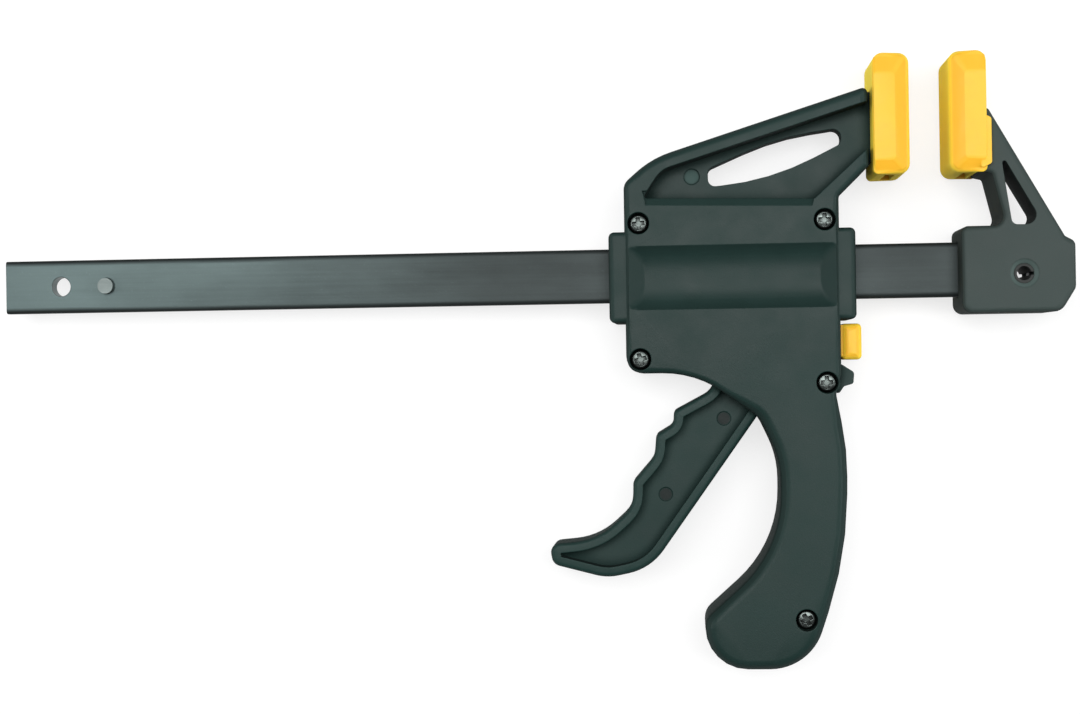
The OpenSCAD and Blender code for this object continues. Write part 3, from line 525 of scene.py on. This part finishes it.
# ---- Pieces ---------------------------------------------------------------------------------

def show(piece, body, slot, material, *nodes):
    """Gives a finished piece its material and its place in the assembly."""
    if material is not None:
        piece.data.materials.clear()
        piece.data.materials.append(material)
    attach(piece, body)
    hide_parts(*nodes)
    return piece


def linked_object(name, mesh):
    piece = bpy.data.objects.new(name, mesh)
    bpy.context.scene.collection.objects.link(piece)
    return piece


def baked(piece):
    """Turns a piece and its modifiers into a plain mesh object of the same name."""
    graph = bpy.context.evaluated_depsgraph_get()
    mesh = bpy.data.meshes.new_from_object(piece.evaluated_get(graph), depsgraph=graph)
    piece.modifiers.clear()
    old = piece.data
    piece.data = mesh
    if old.users == 0:
        bpy.data.meshes.remove(old)
    return piece


def merged_copy(node, name):
    """A copy of a node's mesh with its loose triangles joined."""
    mesh = frame["nodes"][node].data.copy()
    mesh.name = name
    work = bmesh.new()
    work.from_mesh(mesh)
    bmesh.ops.remove_doubles(work, verts=work.verts, dist=MERGE)
    work.to_mesh(mesh)
    work.free()
    return linked_object(name, mesh)


def flat_regions(work):
    """Each face's flat region, and each region's mean width."""
    region_of, widths = {}, []
    for seed in work.faces:
        if seed in region_of:
            continue
        index, area, border = len(widths), 0.0, 0.0
        region_of[seed] = index
        waiting = [seed]
        while waiting:
            face = waiting.pop()
            area += face.calc_area()
            for edge in face.edges:
                for other in edge.link_faces:
                    if other in region_of:
                        border += edge.calc_length() if region_of[other] != index else 0.0
                    elif edge.calc_face_angle(math.pi) < SAME_PLANE:
                        region_of[other] = index
                        waiting.append(other)
                    else:
                        border += edge.calc_length()
        widths.append(2.0 * area / max(border, 1e-9))
    return region_of, widths


def smoothed(piece, crease=math.radians(18)):
    """Shades rounded stretches smooth; edges between broad flats stay sharp from the crease up."""
    piece.data.shade_smooth()
    work = bmesh.new()
    work.from_mesh(piece.data)
    region_of, widths = flat_regions(work)
    for edge in work.edges:
        turn = edge.calc_face_angle(math.pi)
        broad = min((widths[region_of[face]] for face in edge.link_faces), default=0.0) > BROAD
        edge.smooth = turn < (crease if broad else SHARP)
    work.to_mesh(piece.data)
    work.free()
    weighted = piece.modifiers.new("Flat faces", "WEIGHTED_NORMAL")
    weighted.keep_sharp = True
    weighted.mode = "FACE_AREA"
    return baked(piece)


def moulded_piece(node, body, slot, material, name, reshape=None, **shading):
    """A node's own shape, reworked where asked, evenly shaded, in its finish."""
    piece = merged_copy(node, name)
    if reshape:
        reshape(piece)
    return show(smoothed(piece, **shading), body, slot, material, node)


# The long recess in the front face: its corners on the face, the run of its end slopes, and how
# steeply its floor curves up to its long sides
RECESS_LOW = Vector((-32.2, -11.2)) * MM
RECESS_HIGH = Vector((32.5, 8.6)) * MM
RECESS_END = 5.2 * MM
RECESS_SAG = 0.4 * MM
RECESS_CURVE = 2.8
RECESS_BLEND = 5.0
RECESS_ROWS = 24
RECESS_STEPS = 10


def evenly(start, stop, count):
    """Places between two ends, without the ends."""
    return [start + (stop - start) * step / count for step in range(1, count)]


def recess_faces(work):
    """The faces of the long recess, which all lie inside its outline on the face."""
    def inside(corner):
        return (RECESS_LOW.x - MERGE < corner.x < RECESS_HIGH.x + MERGE
                and RECESS_LOW.y - MERGE < corner.y < RECESS_HIGH.y + MERGE
                and corner.z > CAD_BOX[1].z - 5 * MM)
    return [face for face in work.faces if all(inside(vert.co) for vert in face.verts)]


def dish_recess(piece):
    """Curves the floor of the long recess up into its long sides, as a shallow trough."""
    work = bmesh.new()
    work.from_mesh(piece.data)
    heights = [vert.co.z for face in recess_faces(work) for vert in face.verts]
    floor = min(heights) - RECESS_SAG
    depth = max(heights) - floor
    foot = 1.5 * RECESS_END
    rows = evenly(RECESS_LOW.y, RECESS_HIGH.y, RECESS_ROWS)
    cuts = [((0.0, y, 0.0), (0.0, 1.0, 0.0)) for y in rows]
    stops = (RECESS_LOW.x, RECESS_LOW.x + foot, RECESS_HIGH.x - foot, RECESS_HIGH.x)
    for start, stop in zip(stops, stops[1:]):
        cuts += [((x, 0.0, 0.0), (1.0, 0.0, 0.0)) for x in evenly(start, stop, RECESS_STEPS)]
    for point, normal in cuts:
        faces = recess_faces(work)
        part = {*faces, *(e for f in faces for e in f.edges), *(v for f in faces for v in f.verts)}
        bmesh.ops.bisect_plane(work, geom=list(part), dist=MERGE / 10, plane_co=point,
                               plane_no=normal)
    middle = (RECESS_LOW.y + RECESS_HIGH.y) / 2
    half = (RECESS_HIGH.y - RECESS_LOW.y) / 2
    for vert in {v for f in recess_faces(work) for v in f.verts}:
        x, y, _ = vert.co
        ends = max(0.0, 1.0 - min(x - RECESS_LOW.x, RECESS_HIGH.x - x) / RECESS_END)
        sides = min(1.0, abs(y - middle) / half) ** RECESS_CURVE
        rise = (ends ** RECESS_BLEND + sides ** RECESS_BLEND) ** (1.0 / RECESS_BLEND)
        vert.co.z = floor + depth * min(1.0, rise)
    bmesh.ops.triangulate(work, faces=[face for face in work.faces if len(face.verts) > 4])
    work.to_mesh(piece.data)
    work.free()


# The window of the fixed jaw: its corners, and how far its right wall slopes back through the jaw
WINDOW_LEFT = Vector((85.5, 13.1)) * MM
WINDOW_RIGHT = Vector((95.0, 12.9)) * MM
WINDOW_TOP = Vector((82.1, 35.7)) * MM
WINDOW_DRAFT = 1.25 * MM
WINDOW_MARGIN = 0.05 * MM


def draft_window(piece):
    """Slopes the right wall of the jaw's window outward towards the back, by the draft of its mould."""
    low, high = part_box("fixed_jaw")
    for vert in piece.data.vertices:
        x, y, z = vert.co
        rise = (y - WINDOW_RIGHT.y) / (WINDOW_TOP.y - WINDOW_RIGHT.y)
        left = WINDOW_LEFT.lerp(WINDOW_TOP, rise).x
        right = WINDOW_RIGHT.lerp(WINDOW_TOP, rise).x
        if 0.0 <= rise < 1.0 and left - WINDOW_MARGIN < x < right + WINDOW_MARGIN:
            share = min(1.0, max(0.0, (x - left) / (right - left)))
            vert.co.x += WINDOW_DRAFT * share * (high.z - z) / (high.z - low.z)


def body_of(node):
    """Name of the body that a node belongs to."""
    return next(b for b, nodes in frame["record"]["behaviour"]["bodies"].items() if node in nodes)


# Round spots, in millimetres: X, Y and radius of each ejector mark, and the radius of the painted highlight on the
# sink round the roll pin
ARM_MARKS = ((-11.9, 30.6, 2.5),)
JAW_SINK_HIGHLIGHT_RADIUS = 4.6
TRIGGER_MARKS = ((-3.0, -45.35, 2.2), (-21.6, -68.95, 2.2))


# ---- Operators ------------------------------------------------------------------------------

class CLAMP_OT_housing(bpy.types.Operator):
    """Dress both shells of the housing"""

    bl_idname = "clamp.housing"
    bl_label = "Housing"

    def execute(self, context):
        finish = context.scene.clamp_finish
        plastic = moulded_plastic("Housing plastic", finish.housing, finish.grain, finish.edge,
                                  marks=ARM_MARKS, spot_tone=2.2)
        for node, reshape in (("front_shell", dish_recess), ("back_shell", None)):
            moulded_piece(node, "carriage", "housing_plastic", plastic, f"{node}_moulding", reshape)
        return {"FINISHED"}


class CLAMP_OT_trigger(bpy.types.Operator):
    """Dress the trigger"""

    bl_idname = "clamp.trigger"
    bl_label = "Trigger"

    def execute(self, context):
        finish = context.scene.clamp_finish
        plastic = moulded_plastic("Trigger plastic", finish.trigger, finish.grain, finish.edge,
                                  marks=TRIGGER_MARKS, spot_tone=0.3)
        moulded_piece("trigger", "trigger", "trigger_plastic", plastic, "trigger_moulding")
        return {"FINISHED"}


class CLAMP_OT_fixed_jaw(bpy.types.Operator):
    """Dress the fixed jaw"""

    bl_idname = "clamp.fixed_jaw"
    bl_label = "Fixed Jaw"

    def execute(self, context):
        finish = context.scene.clamp_finish
        low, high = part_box("jaw_roll_pin")
        # A lighter ring on the sink round the roll pin: a painted highlight
        sink_highlight = ((low.x + high.x) / 2 / MM, (low.y + high.y) / 2 / MM, JAW_SINK_HIGHLIGHT_RADIUS)
        plastic = moulded_plastic("Jaw plastic", finish.jaw, finish.grain, finish.edge,
                                  gloss=(0.5, 0.62), rub=1.5, reach=0.0015, marks=(sink_highlight,),
                                  spot_tone=2.5)
        moulded_piece("fixed_jaw", "bar_and_jaw", "jaw_plastic", plastic, "fixed_jaw_moulding",
                      draft_window)
        return {"FINISHED"}


class CLAMP_OT_pads(bpy.types.Operator):
    """Dress the two jaw pads"""

    bl_idname = "clamp.pads"
    bl_label = "Jaw Pads"

    def execute(self, context):
        finish = context.scene.clamp_finish
        soft = soft_plastic("Pad plastic", finish.pad, finish.grain, finish.edge)
        for node in ("moving_jaw_pad", "fixed_jaw_pad"):
            moulded_piece(node, body_of(node), "pad_plastic", soft, f"{node}_soft",
                          crease=math.radians(12))
        return {"FINISHED"}


class CLAMP_OT_release(bpy.types.Operator):
    """Dress the release button and the brake lever that it is fixed to"""

    bl_idname = "clamp.release"
    bl_label = "Release"

    def execute(self, context):
        finish = context.scene.clamp_finish
        soft = soft_plastic("Button plastic", finish.pad, finish.grain, finish.edge)
        plate = bright_steel("Lever steel", finish.plate)
        moulded_piece("release_button", "release", "button_plastic", soft, "release_button_cap")
        moulded_piece("brake_lever", "release", "plate_steel", plate, "brake_lever_plate")
        return {"FINISHED"}


class CLAMP_OT_drive(bpy.types.Operator):
    """Dress the two drive plates"""

    bl_idname = "clamp.drive"
    bl_label = "Drive Plates"

    def execute(self, context):
        plate = bright_steel("Drive plate steel", context.scene.clamp_finish.plate)
        for node in ("drive_plate_1", "drive_plate_2"):
            moulded_piece(node, "drive", "plate_steel", plate, f"{node}_stamped")
        return {"FINISHED"}


class CLAMP_OT_bar(bpy.types.Operator):
    """Dress the bar"""

    bl_idname = "clamp.bar"
    bl_label = "Bar"

    def execute(self, context):
        steel = phosphated_steel("Bar steel", context.scene.clamp_finish.bar, *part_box("bar"))
        moulded_piece("bar", "bar_and_jaw", "bar_steel", steel, "bar_drawn")
        return {"FINISHED"}


class CLAMP_OT_pins(bpy.types.Operator):
    """Dress the stop pin, the roll pin and the trigger's pivot pin"""

    bl_idname = "clamp.pins"
    bl_label = "Pins"

    def execute(self, context):
        finish = context.scene.clamp_finish
        for node, name, colour, gloss, metallic in (
            ("bar_stop_pin", "Stop pin steel", finish.stop_pin, (0.36, 0.48), 1.0),
            ("jaw_roll_pin", "Roll pin steel", finish.roll_pin, (0.70, 0.85), 0.1),
            ("trigger_pivot_pin", "Pivot pin steel", finish.pin, (0.22, 0.36), 1.0),
        ):
            steel = bright_steel(name, colour, gloss, metallic)
            moulded_piece(node, body_of(node), "pin_steel", steel, f"{node}_ground")
        return {"FINISHED"}


# ---- Screws ---------------------------------------------------------------------------------

# Profile of a pan head, from the middle of its underside over the rim to its crown, and the grid
# that is wrapped round it
HEAD_STEPS = (0.0, 0.2, 0.4, 0.55, 0.7, 0.85, 1.0)
HEAD_RADII = tuple(zip(HEAD_STEPS, (0.0, 0.5, 0.5, 0.475, 0.40, 0.24, 0.0)))
HEAD_HEIGHTS = tuple(zip(HEAD_STEPS, (0.0, 0.0, 0.42, 0.70, 0.88, 0.98, 1.0)))
HEAD_SIDES = 49
HEAD_RINGS = 24
HEAD_MERGE = 0.001 * MM
# Length of the cross recess as a share of the head's diameter
SLOT_REACH = 0.62
SHANK_SIDES = 32
WIRE_SIDES = 12


def tree_inputs(*rows):
    """The inputs of a tree: its geometry, its own rows and its material."""
    return [("Geometry", "NodeSocketGeometry", None), *rows, ("Material", "NodeSocketMaterial", None)]


def screw_tree():
    """Cross-recessed screws: one pan head and shank on each point of the mesh, each at its own turn."""
    graph, given, out = new_group(
        "Shell screws", "GeometryNodeTree",
        tree_inputs(
            ("Head Diameter", "NodeSocketFloat", 0.0062), ("Head Height", "NodeSocketFloat", 0.0022),
            ("Shank Diameter", "NodeSocketFloat", 0.003), ("Shank Length", "NodeSocketFloat", 0.02),
            ("Slot Width", "NodeSocketFloat", 0.0009), ("Slot Depth", "NodeSocketFloat", 0.0013),
            ("Turn Seed", "NodeSocketInt", 0),
        ),
        [("Geometry", "NodeSocketGeometry")],
    )
    # Head: a grid wrapped round the axis, with its profile read from two curves
    sheet = graph.node("GeometryNodeMeshGrid", {
        "Size X": 1.0, "Size Y": 1.0, "Vertices X": HEAD_SIDES, "Vertices Y": HEAD_RINGS,
    })
    across = graph.node("ShaderNodeSeparateXYZ", {0: sheet.outputs["UV Map"]}).outputs
    radius = graph.times(profile(graph, across["Y"], HEAD_RADII), given["Head Diameter"])
    height = graph.times(profile(graph, across["Y"], HEAD_HEIGHTS), given["Head Height"])
    angle = graph.times(across["X"], math.tau)
    wrapped = graph.node("GeometryNodeSetPosition", {
        "Geometry": sheet.outputs["Mesh"],
        "Position": graph.vector(
            graph.times(radius, graph.math("COSINE", angle)),
            graph.times(radius, graph.math("SINE", angle)),
            height,
        ),
    }).outputs[0]
    head = graph.node("GeometryNodeMergeByDistance", {
        "Geometry": wrapped, "Distance": HEAD_MERGE,
    }).outputs[0]
    # Recess: two crossed bars sunk into the head
    reach = graph.times(given["Head Diameter"], SLOT_REACH)
    slot_z = graph.math("SUBTRACT", given["Head Height"],
                        graph.math("SUBTRACT", given["Slot Depth"], given["Head Height"]))
    for turn in (0.0, math.pi / 2):
        bar = graph.node("GeometryNodeMeshCube", {
            "Size": graph.vector(
                reach, given["Slot Width"], graph.times(given["Head Height"], 2.0),
            ),
        }).outputs["Mesh"]
        placed = graph.node("GeometryNodeTransform", {
            "Geometry": bar,
            "Translation": graph.vector(z=slot_z),
            "Rotation": (0.0, 0.0, turn),
        }).outputs[0]
        cut = graph.node("GeometryNodeMeshBoolean", operation="DIFFERENCE", solver="EXACT")
        graph.feed(cut.inputs["Mesh 1"], head)
        graph.feed(cut.inputs["Mesh 2"], placed)
        head = cut.outputs["Mesh"]
    shank = graph.node("GeometryNodeMeshCylinder", {
        "Vertices": SHANK_SIDES, "Radius": graph.times(given["Shank Diameter"], 0.5),
        "Depth": given["Shank Length"],
    }).outputs["Mesh"]
    lowered = graph.node("GeometryNodeTransform", {
        "Geometry": shank,
        "Translation": graph.vector(z=graph.times(given["Shank Length"], -0.5)),
    }).outputs[0]
    joined = graph.node("GeometryNodeJoinGeometry")
    graph.feed(joined.inputs[0], head)
    graph.feed(joined.inputs[0], lowered)
    points = graph.node("GeometryNodeInstanceOnPoints", {
        "Points": given["Geometry"], "Instance": joined.outputs[0],
    }).outputs[0]
    turn = graph.node("FunctionNodeRandomValue", {"Seed": given["Turn Seed"]}, data_type="FLOAT")
    next(s for s in turn.inputs if s.name == "Max" and s.type == "VALUE").default_value = math.tau
    angle_out = next(s for s in turn.outputs if s.type == "VALUE" and s.enabled)
    spun = graph.node("GeometryNodeRotateInstances", {
        "Instances": points, "Rotation": graph.vector(z=angle_out),
    }).outputs[0]
    finish_tree(graph, spun, given, out)
    return graph.tree


def finish_tree(graph, geometry, given, out):
    """Ends a tree: instances made real, smooth shading, and the material set."""
    real = graph.node("GeometryNodeRealizeInstances", {"Geometry": geometry}).outputs[0]
    smooth = graph.node("GeometryNodeSetShadeSmooth", {"Geometry": real}).outputs[0]
    painted = graph.node("GeometryNodeSetMaterial", {"Geometry": smooth, "Material": given["Material"]})
    graph.feed(out["Geometry"], painted.outputs[0])


def profile(graph, value, points):
    """A value read from a curve through these points, straight between them."""
    made = graph.node("ShaderNodeFloatCurve", {"Value": value})
    curve = made.mapping.curves[0]
    while len(curve.points) < len(points):
        curve.points.new(0.5, 0.5)
    for point, (x, y) in zip(curve.points, points):
        point.location = (x, y)
        point.handle_type = "VECTOR"
    made.mapping.update()
    return made.outputs[0]


def run_tree(piece, tree, **inputs):
    """Runs a Geometry Nodes tree on a piece and keeps the result as the piece's mesh."""
    modifier = piece.modifiers.new(tree.name, "NODES")
    modifier.node_group = tree
    sockets = {s.name: s.identifier for s in tree.interface.items_tree if s.in_out == "INPUT"}
    for label, value in inputs.items():
        modifier[sockets[label.replace("_", " ")]] = value
    return baked(piece)


class CLAMP_OT_screws(bpy.types.Operator):
    """Set the five screws that join the shells"""

    bl_idname = "clamp.screws"
    bl_label = "Shell Screws"

    def execute(self, context):
        sizes = context.scene.clamp_screws
        steel = blackened_steel("Screw steel", context.scene.clamp_finish.screw)
        seats = []
        for node in SCREW_NODES:
            low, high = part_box(node)
            seats.append(((low.x + high.x) / 2, (low.y + high.y) / 2, high.z - sizes.head_height))
        mesh = bpy.data.meshes.new("shell_screws")
        mesh.from_pydata(seats, [], [])
        piece = linked_object("shell_screws", mesh)
        run_tree(
            piece, screw_tree(), Head_Diameter=high.x - low.x, Head_Height=sizes.head_height,
            Shank_Diameter=sizes.shank_diameter, Shank_Length=high.z - low.z - sizes.head_height,
            Slot_Width=sizes.slot_width, Slot_Depth=sizes.slot_depth, Turn_Seed=sizes.turn_seed,
            Material=steel,
        )
        smoothed(piece)
        show(piece, "carriage", "screw_steel", None, *SCREW_NODES)
        return {"FINISHED"}


# ---- Springs --------------------------------------------------------------------------------

def spring_tree():
    """A compression spring along +X from its start, with closed ends."""
    graph, given, out = new_group(
        "Compression spring", "GeometryNodeTree",
        tree_inputs(
            ("Start", "NodeSocketVector", (0.0, 0.0, 0.0)), ("Length", "NodeSocketFloat", 0.02),
            ("Coil Radius", "NodeSocketFloat", 0.009), ("Wire Diameter", "NodeSocketFloat", 0.001),
            ("Turns", "NodeSocketInt", 6), ("Steps", "NodeSocketInt", 40),
        ),
        [("Geometry", "NodeSocketGeometry")],
    )
    count = graph.math("ADD", graph.times(given["Turns"], given["Steps"]), 1.0)
    line = graph.node("GeometryNodeMeshLine", {"Count": count}).outputs[0]
    place = graph.math("DIVIDE", graph.node("GeometryNodeInputIndex").outputs[0],
                       graph.math("SUBTRACT", count, 1.0))
    angle = graph.times(place, graph.times(given["Turns"], math.tau))
    travel = graph.math("SUBTRACT", given["Length"], given["Wire Diameter"])
    # The first and last turns lie flat: they rise by one wire
    turn_share = graph.math("DIVIDE", 1.0, given["Turns"])
    wire_share = graph.math("DIVIDE", given["Wire Diameter"], travel)
    first = graph.remap(place, 0.0, turn_share, 0.0, wire_share)
    middle = graph.remap(place, turn_share, graph.math("SUBTRACT", 1.0, turn_share), 0.0,
                         graph.math("SUBTRACT", 1.0, graph.times(wire_share, 2.0)))
    last = graph.remap(place, graph.math("SUBTRACT", 1.0, turn_share), 1.0, 0.0, wire_share)
    rise = graph.math("ADD", first, graph.math("ADD", middle, last))
    along = graph.math("ADD", graph.times(rise, travel),
                       graph.times(given["Wire Diameter"], 0.5))
    wound = graph.node("GeometryNodeSetPosition", {
        "Geometry": line,
        "Position": graph.vector(
            along,
            graph.times(given["Coil Radius"], graph.math("COSINE", angle)),
            graph.times(given["Coil Radius"], graph.math("SINE", angle)),
        ),
    }).outputs[0]
    path = graph.node("GeometryNodeMeshToCurve", {"Mesh": wound}).outputs[0]
    section = graph.node("GeometryNodeCurvePrimitiveCircle", {
        "Resolution": WIRE_SIDES, "Radius": graph.times(given["Wire Diameter"], 0.5),
    }).outputs["Curve"]
    wire = graph.node("GeometryNodeCurveToMesh", {
        "Curve": path, "Profile Curve": section, "Fill Caps": True,
    }).outputs[0]
    placed = graph.node("GeometryNodeTransform", {"Geometry": wire, "Translation": given["Start"]})
    finish_tree(graph, placed.outputs[0], given, out)
    return graph.tree


class CLAMP_OT_springs(bpy.types.Operator):
    """Wind the drive spring and the brake spring"""

    bl_idname = "clamp.springs"
    bl_label = "Springs"

    def execute(self, context):
        sizes = context.scene.clamp_springs
        wire_steel = bright_steel("Spring wire", context.scene.clamp_finish.plate, gloss=(0.18, 0.3))
        tree = spring_tree()
        for node, wire, turns, joint in (
            ("drive_spring", sizes.drive_wire, sizes.drive_turns, "drive_slide"),
            ("brake_spring", sizes.brake_wire, sizes.brake_turns, "release_lever"),
        ):
            low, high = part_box(node)
            piece = linked_object(f"{node}_coil", bpy.data.meshes.new(f"{node}_coil"))
            run_tree(
                piece, tree, Start=(low.x, (low.y + high.y) / 2, (low.z + high.z) / 2),
                Length=high.x - low.x, Coil_Radius=(high.y - low.y - wire) / 2, Wire_Diameter=wire,
                Turns=turns, Material=wire_steel,
            )
            smoothed(piece)
            show(piece, "carriage", "spring_steel", None, node)
            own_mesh(piece)
        return {"FINISHED"}

    def travel(self, name, low_y):
        """How far the joint at its limit presses its spring, at the spring's far side."""
        joint = next(j for j in frame["joints"] if j["name"] == name)
        if joint["type"] == "slide":
            return joint["range_m"][1]
        return (joint["pos_m"][1] - low_y) * math.sin(math.radians(joint["range_deg"][1]))


# ---- Stage ----------------------------------------------------------------------------------

IMAGE_WIDTH = 1080
SENSOR_WIDTH = 36.0
CLIP_START = 0.01
CLIP_END = 50.0
# Lamps: name, place from the part's middle, width and depth, and the setting that holds the power
LAMPS = (
    ("Overhead lamp", (0.05, 0.25, 1.4), (1.4, 0.6), "key"),
    ("Left strip", (-0.9, 0.0, 0.3), (0.4, 0.6), "strip"),
    ("Right strip", (0.9, 0.0, 0.3), (0.4, 0.6), "strip"),
)
# Floor: half its side, its drop below the part, its grey for light that bounces and for what is seen,
# and the glow that makes what is seen of it white
FLOOR_HALF = 15.0
FLOOR_DROP = 0.05 * MM
FLOOR_BOUNCE = (0.7, 0.7, 0.7, 1.0)
FLOOR_SEEN = (0.3, 0.3, 0.3, 1.0)
FLOOR_GLOW = 0.74
WHITE = (1.0, 1.0, 1.0, 1.0)


def shown_directly(graph):
    """Light Path factor that is 1 for what the camera, mirrors and glass show of the floor."""
    path = graph.node("ShaderNodeLightPath").outputs
    seen = graph.math("MAXIMUM", path["Is Camera Ray"], path["Is Glossy Ray"])
    return graph.math("MAXIMUM", seen, path["Is Transmission Ray"])


class CLAMP_OT_stage(bpy.types.Operator):
    """Set up the camera, the lamps, the world and the floor"""

    bl_idname = "clamp.stage"
    bl_label = "Studio"

    def execute(self, context):
        sizes = context.scene.clamp_stage
        self.place_camera(context.scene, sizes)
        self.hang_lamps(context.scene, sizes)
        self.lay_floor()
        self.light_world(context.scene, sizes)
        context.scene.view_settings.view_transform = "Standard"
        return {"FINISHED"}

    def place_camera(self, scene, sizes):
        eye = Vector(sizes.eye)
        forward = (Vector(sizes.target) - eye).normalized()
        level = forward.cross(Vector((0.0, 1.0, 0.0))).normalized()
        upright = level.cross(forward)
        c, s = math.cos(sizes.roll), math.sin(sizes.roll)
        right = c * level + s * upright
        up = -s * level + c * upright
        camera = bpy.data.objects.new("Camera", bpy.data.cameras.new("Camera"))
        camera.data.sensor_width = SENSOR_WIDTH
        camera.data.lens = sizes.focal_pixels / IMAGE_WIDTH * SENSOR_WIDTH
        camera.data.clip_start = CLIP_START
        camera.data.clip_end = CLIP_END
        turn = Matrix((right, up, -forward)).transposed().to_4x4()
        camera.matrix_world = Matrix.Translation(eye) @ turn
        scene.collection.objects.link(camera)
        scene.camera = camera

    def hang_lamps(self, scene, sizes):
        centre = (CAD_BOX[0] + CAD_BOX[1]) / 2
        for name, offset, size, power in LAMPS:
            data = bpy.data.lights.new(name, "AREA")
            data.shape = "RECTANGLE"
            data.size, data.size_y = size
            data.energy = getattr(sizes, power)
            lamp = bpy.data.objects.new(name, data)
            lamp.location = centre + Vector(offset)
            lamp.rotation_euler = (centre - lamp.location).to_track_quat("-Z", "Y").to_euler()
            scene.collection.objects.link(lamp)

    def lay_floor(self):
        level = CAD_BOX[0].z - FLOOR_DROP
        mesh = bpy.data.meshes.new("Floor")
        corners = [(x * FLOOR_HALF, y * FLOOR_HALF, level)
                   for x, y in ((-1, -1), (1, -1), (1, 1), (-1, 1))]
        mesh.from_pydata(corners, [], [(0, 1, 2, 3)])
        floor = linked_object("Floor", mesh)
        material, graph, shader = new_material("Pale floor", Roughness=0.9, Specular_IOR_Level=0.0)
        seen = shown_directly(graph)
        graph.feed(shader.inputs["Base Color"], graph.blend(seen, FLOOR_BOUNCE, FLOOR_SEEN))
        shader.inputs["Emission Color"].default_value = WHITE
        graph.feed(shader.inputs["Emission Strength"], graph.times(seen, FLOOR_GLOW))
        mesh.materials.append(material)

    def light_world(self, scene, sizes):
        world = bpy.data.worlds.new("Studio")
        world.use_nodes = True
        background = world.node_tree.nodes["Background"]
        background.inputs["Color"].default_value = WHITE
        background.inputs["Strength"].default_value = sizes.ambient
        scene.world = world


# ---- Panel and registration -----------------------------------------------------------------

PIECE_OPERATORS = (
    CLAMP_OT_stage, CLAMP_OT_housing, CLAMP_OT_trigger, CLAMP_OT_fixed_jaw, CLAMP_OT_pads,
    CLAMP_OT_release, CLAMP_OT_drive, CLAMP_OT_bar, CLAMP_OT_pins, CLAMP_OT_screws, CLAMP_OT_springs,
)
SETTINGS = {
    "clamp_finish": ClampFinishSettings,
    "clamp_screws": ClampScrewSettings,
    "clamp_springs": ClampSpringSettings,
    "clamp_stage": ClampStageSettings,
}


class CLAMP_PT_pieces(bpy.types.Panel):
    """Pieces and settings of the clamp"""

    bl_label = "Bar Clamp"
    bl_space_type = "VIEW_3D"
    bl_region_type = "UI"
    bl_category = "Bar Clamp"

    def draw(self, context):
        for operator in PIECE_OPERATORS:
            self.layout.operator(operator.bl_idname)
        for name, group in SETTINGS.items():
            box = self.layout.box()
            settings = getattr(context.scene, name)
            for field in group.__annotations__:
                box.prop(settings, field)


CLASSES = (*SETTINGS.values(), *PIECE_OPERATORS, CLAMP_PT_pieces)


def register():
    for cls in CLASSES:
        bpy.utils.register_class(cls)
    for name, group in SETTINGS.items():
        setattr(bpy.types.Scene, name, PointerProperty(type=group))


def unregister():
    for name in SETTINGS:
        delattr(bpy.types.Scene, name)
    for cls in reversed(CLASSES):
        bpy.utils.unregister_class(cls)


def main():
    register()
    for operator in PIECE_OPERATORS:
        group, name = operator.bl_idname.split(".")
        getattr(getattr(bpy.ops, group), name)()


if __name__ == "__main__":
    main()
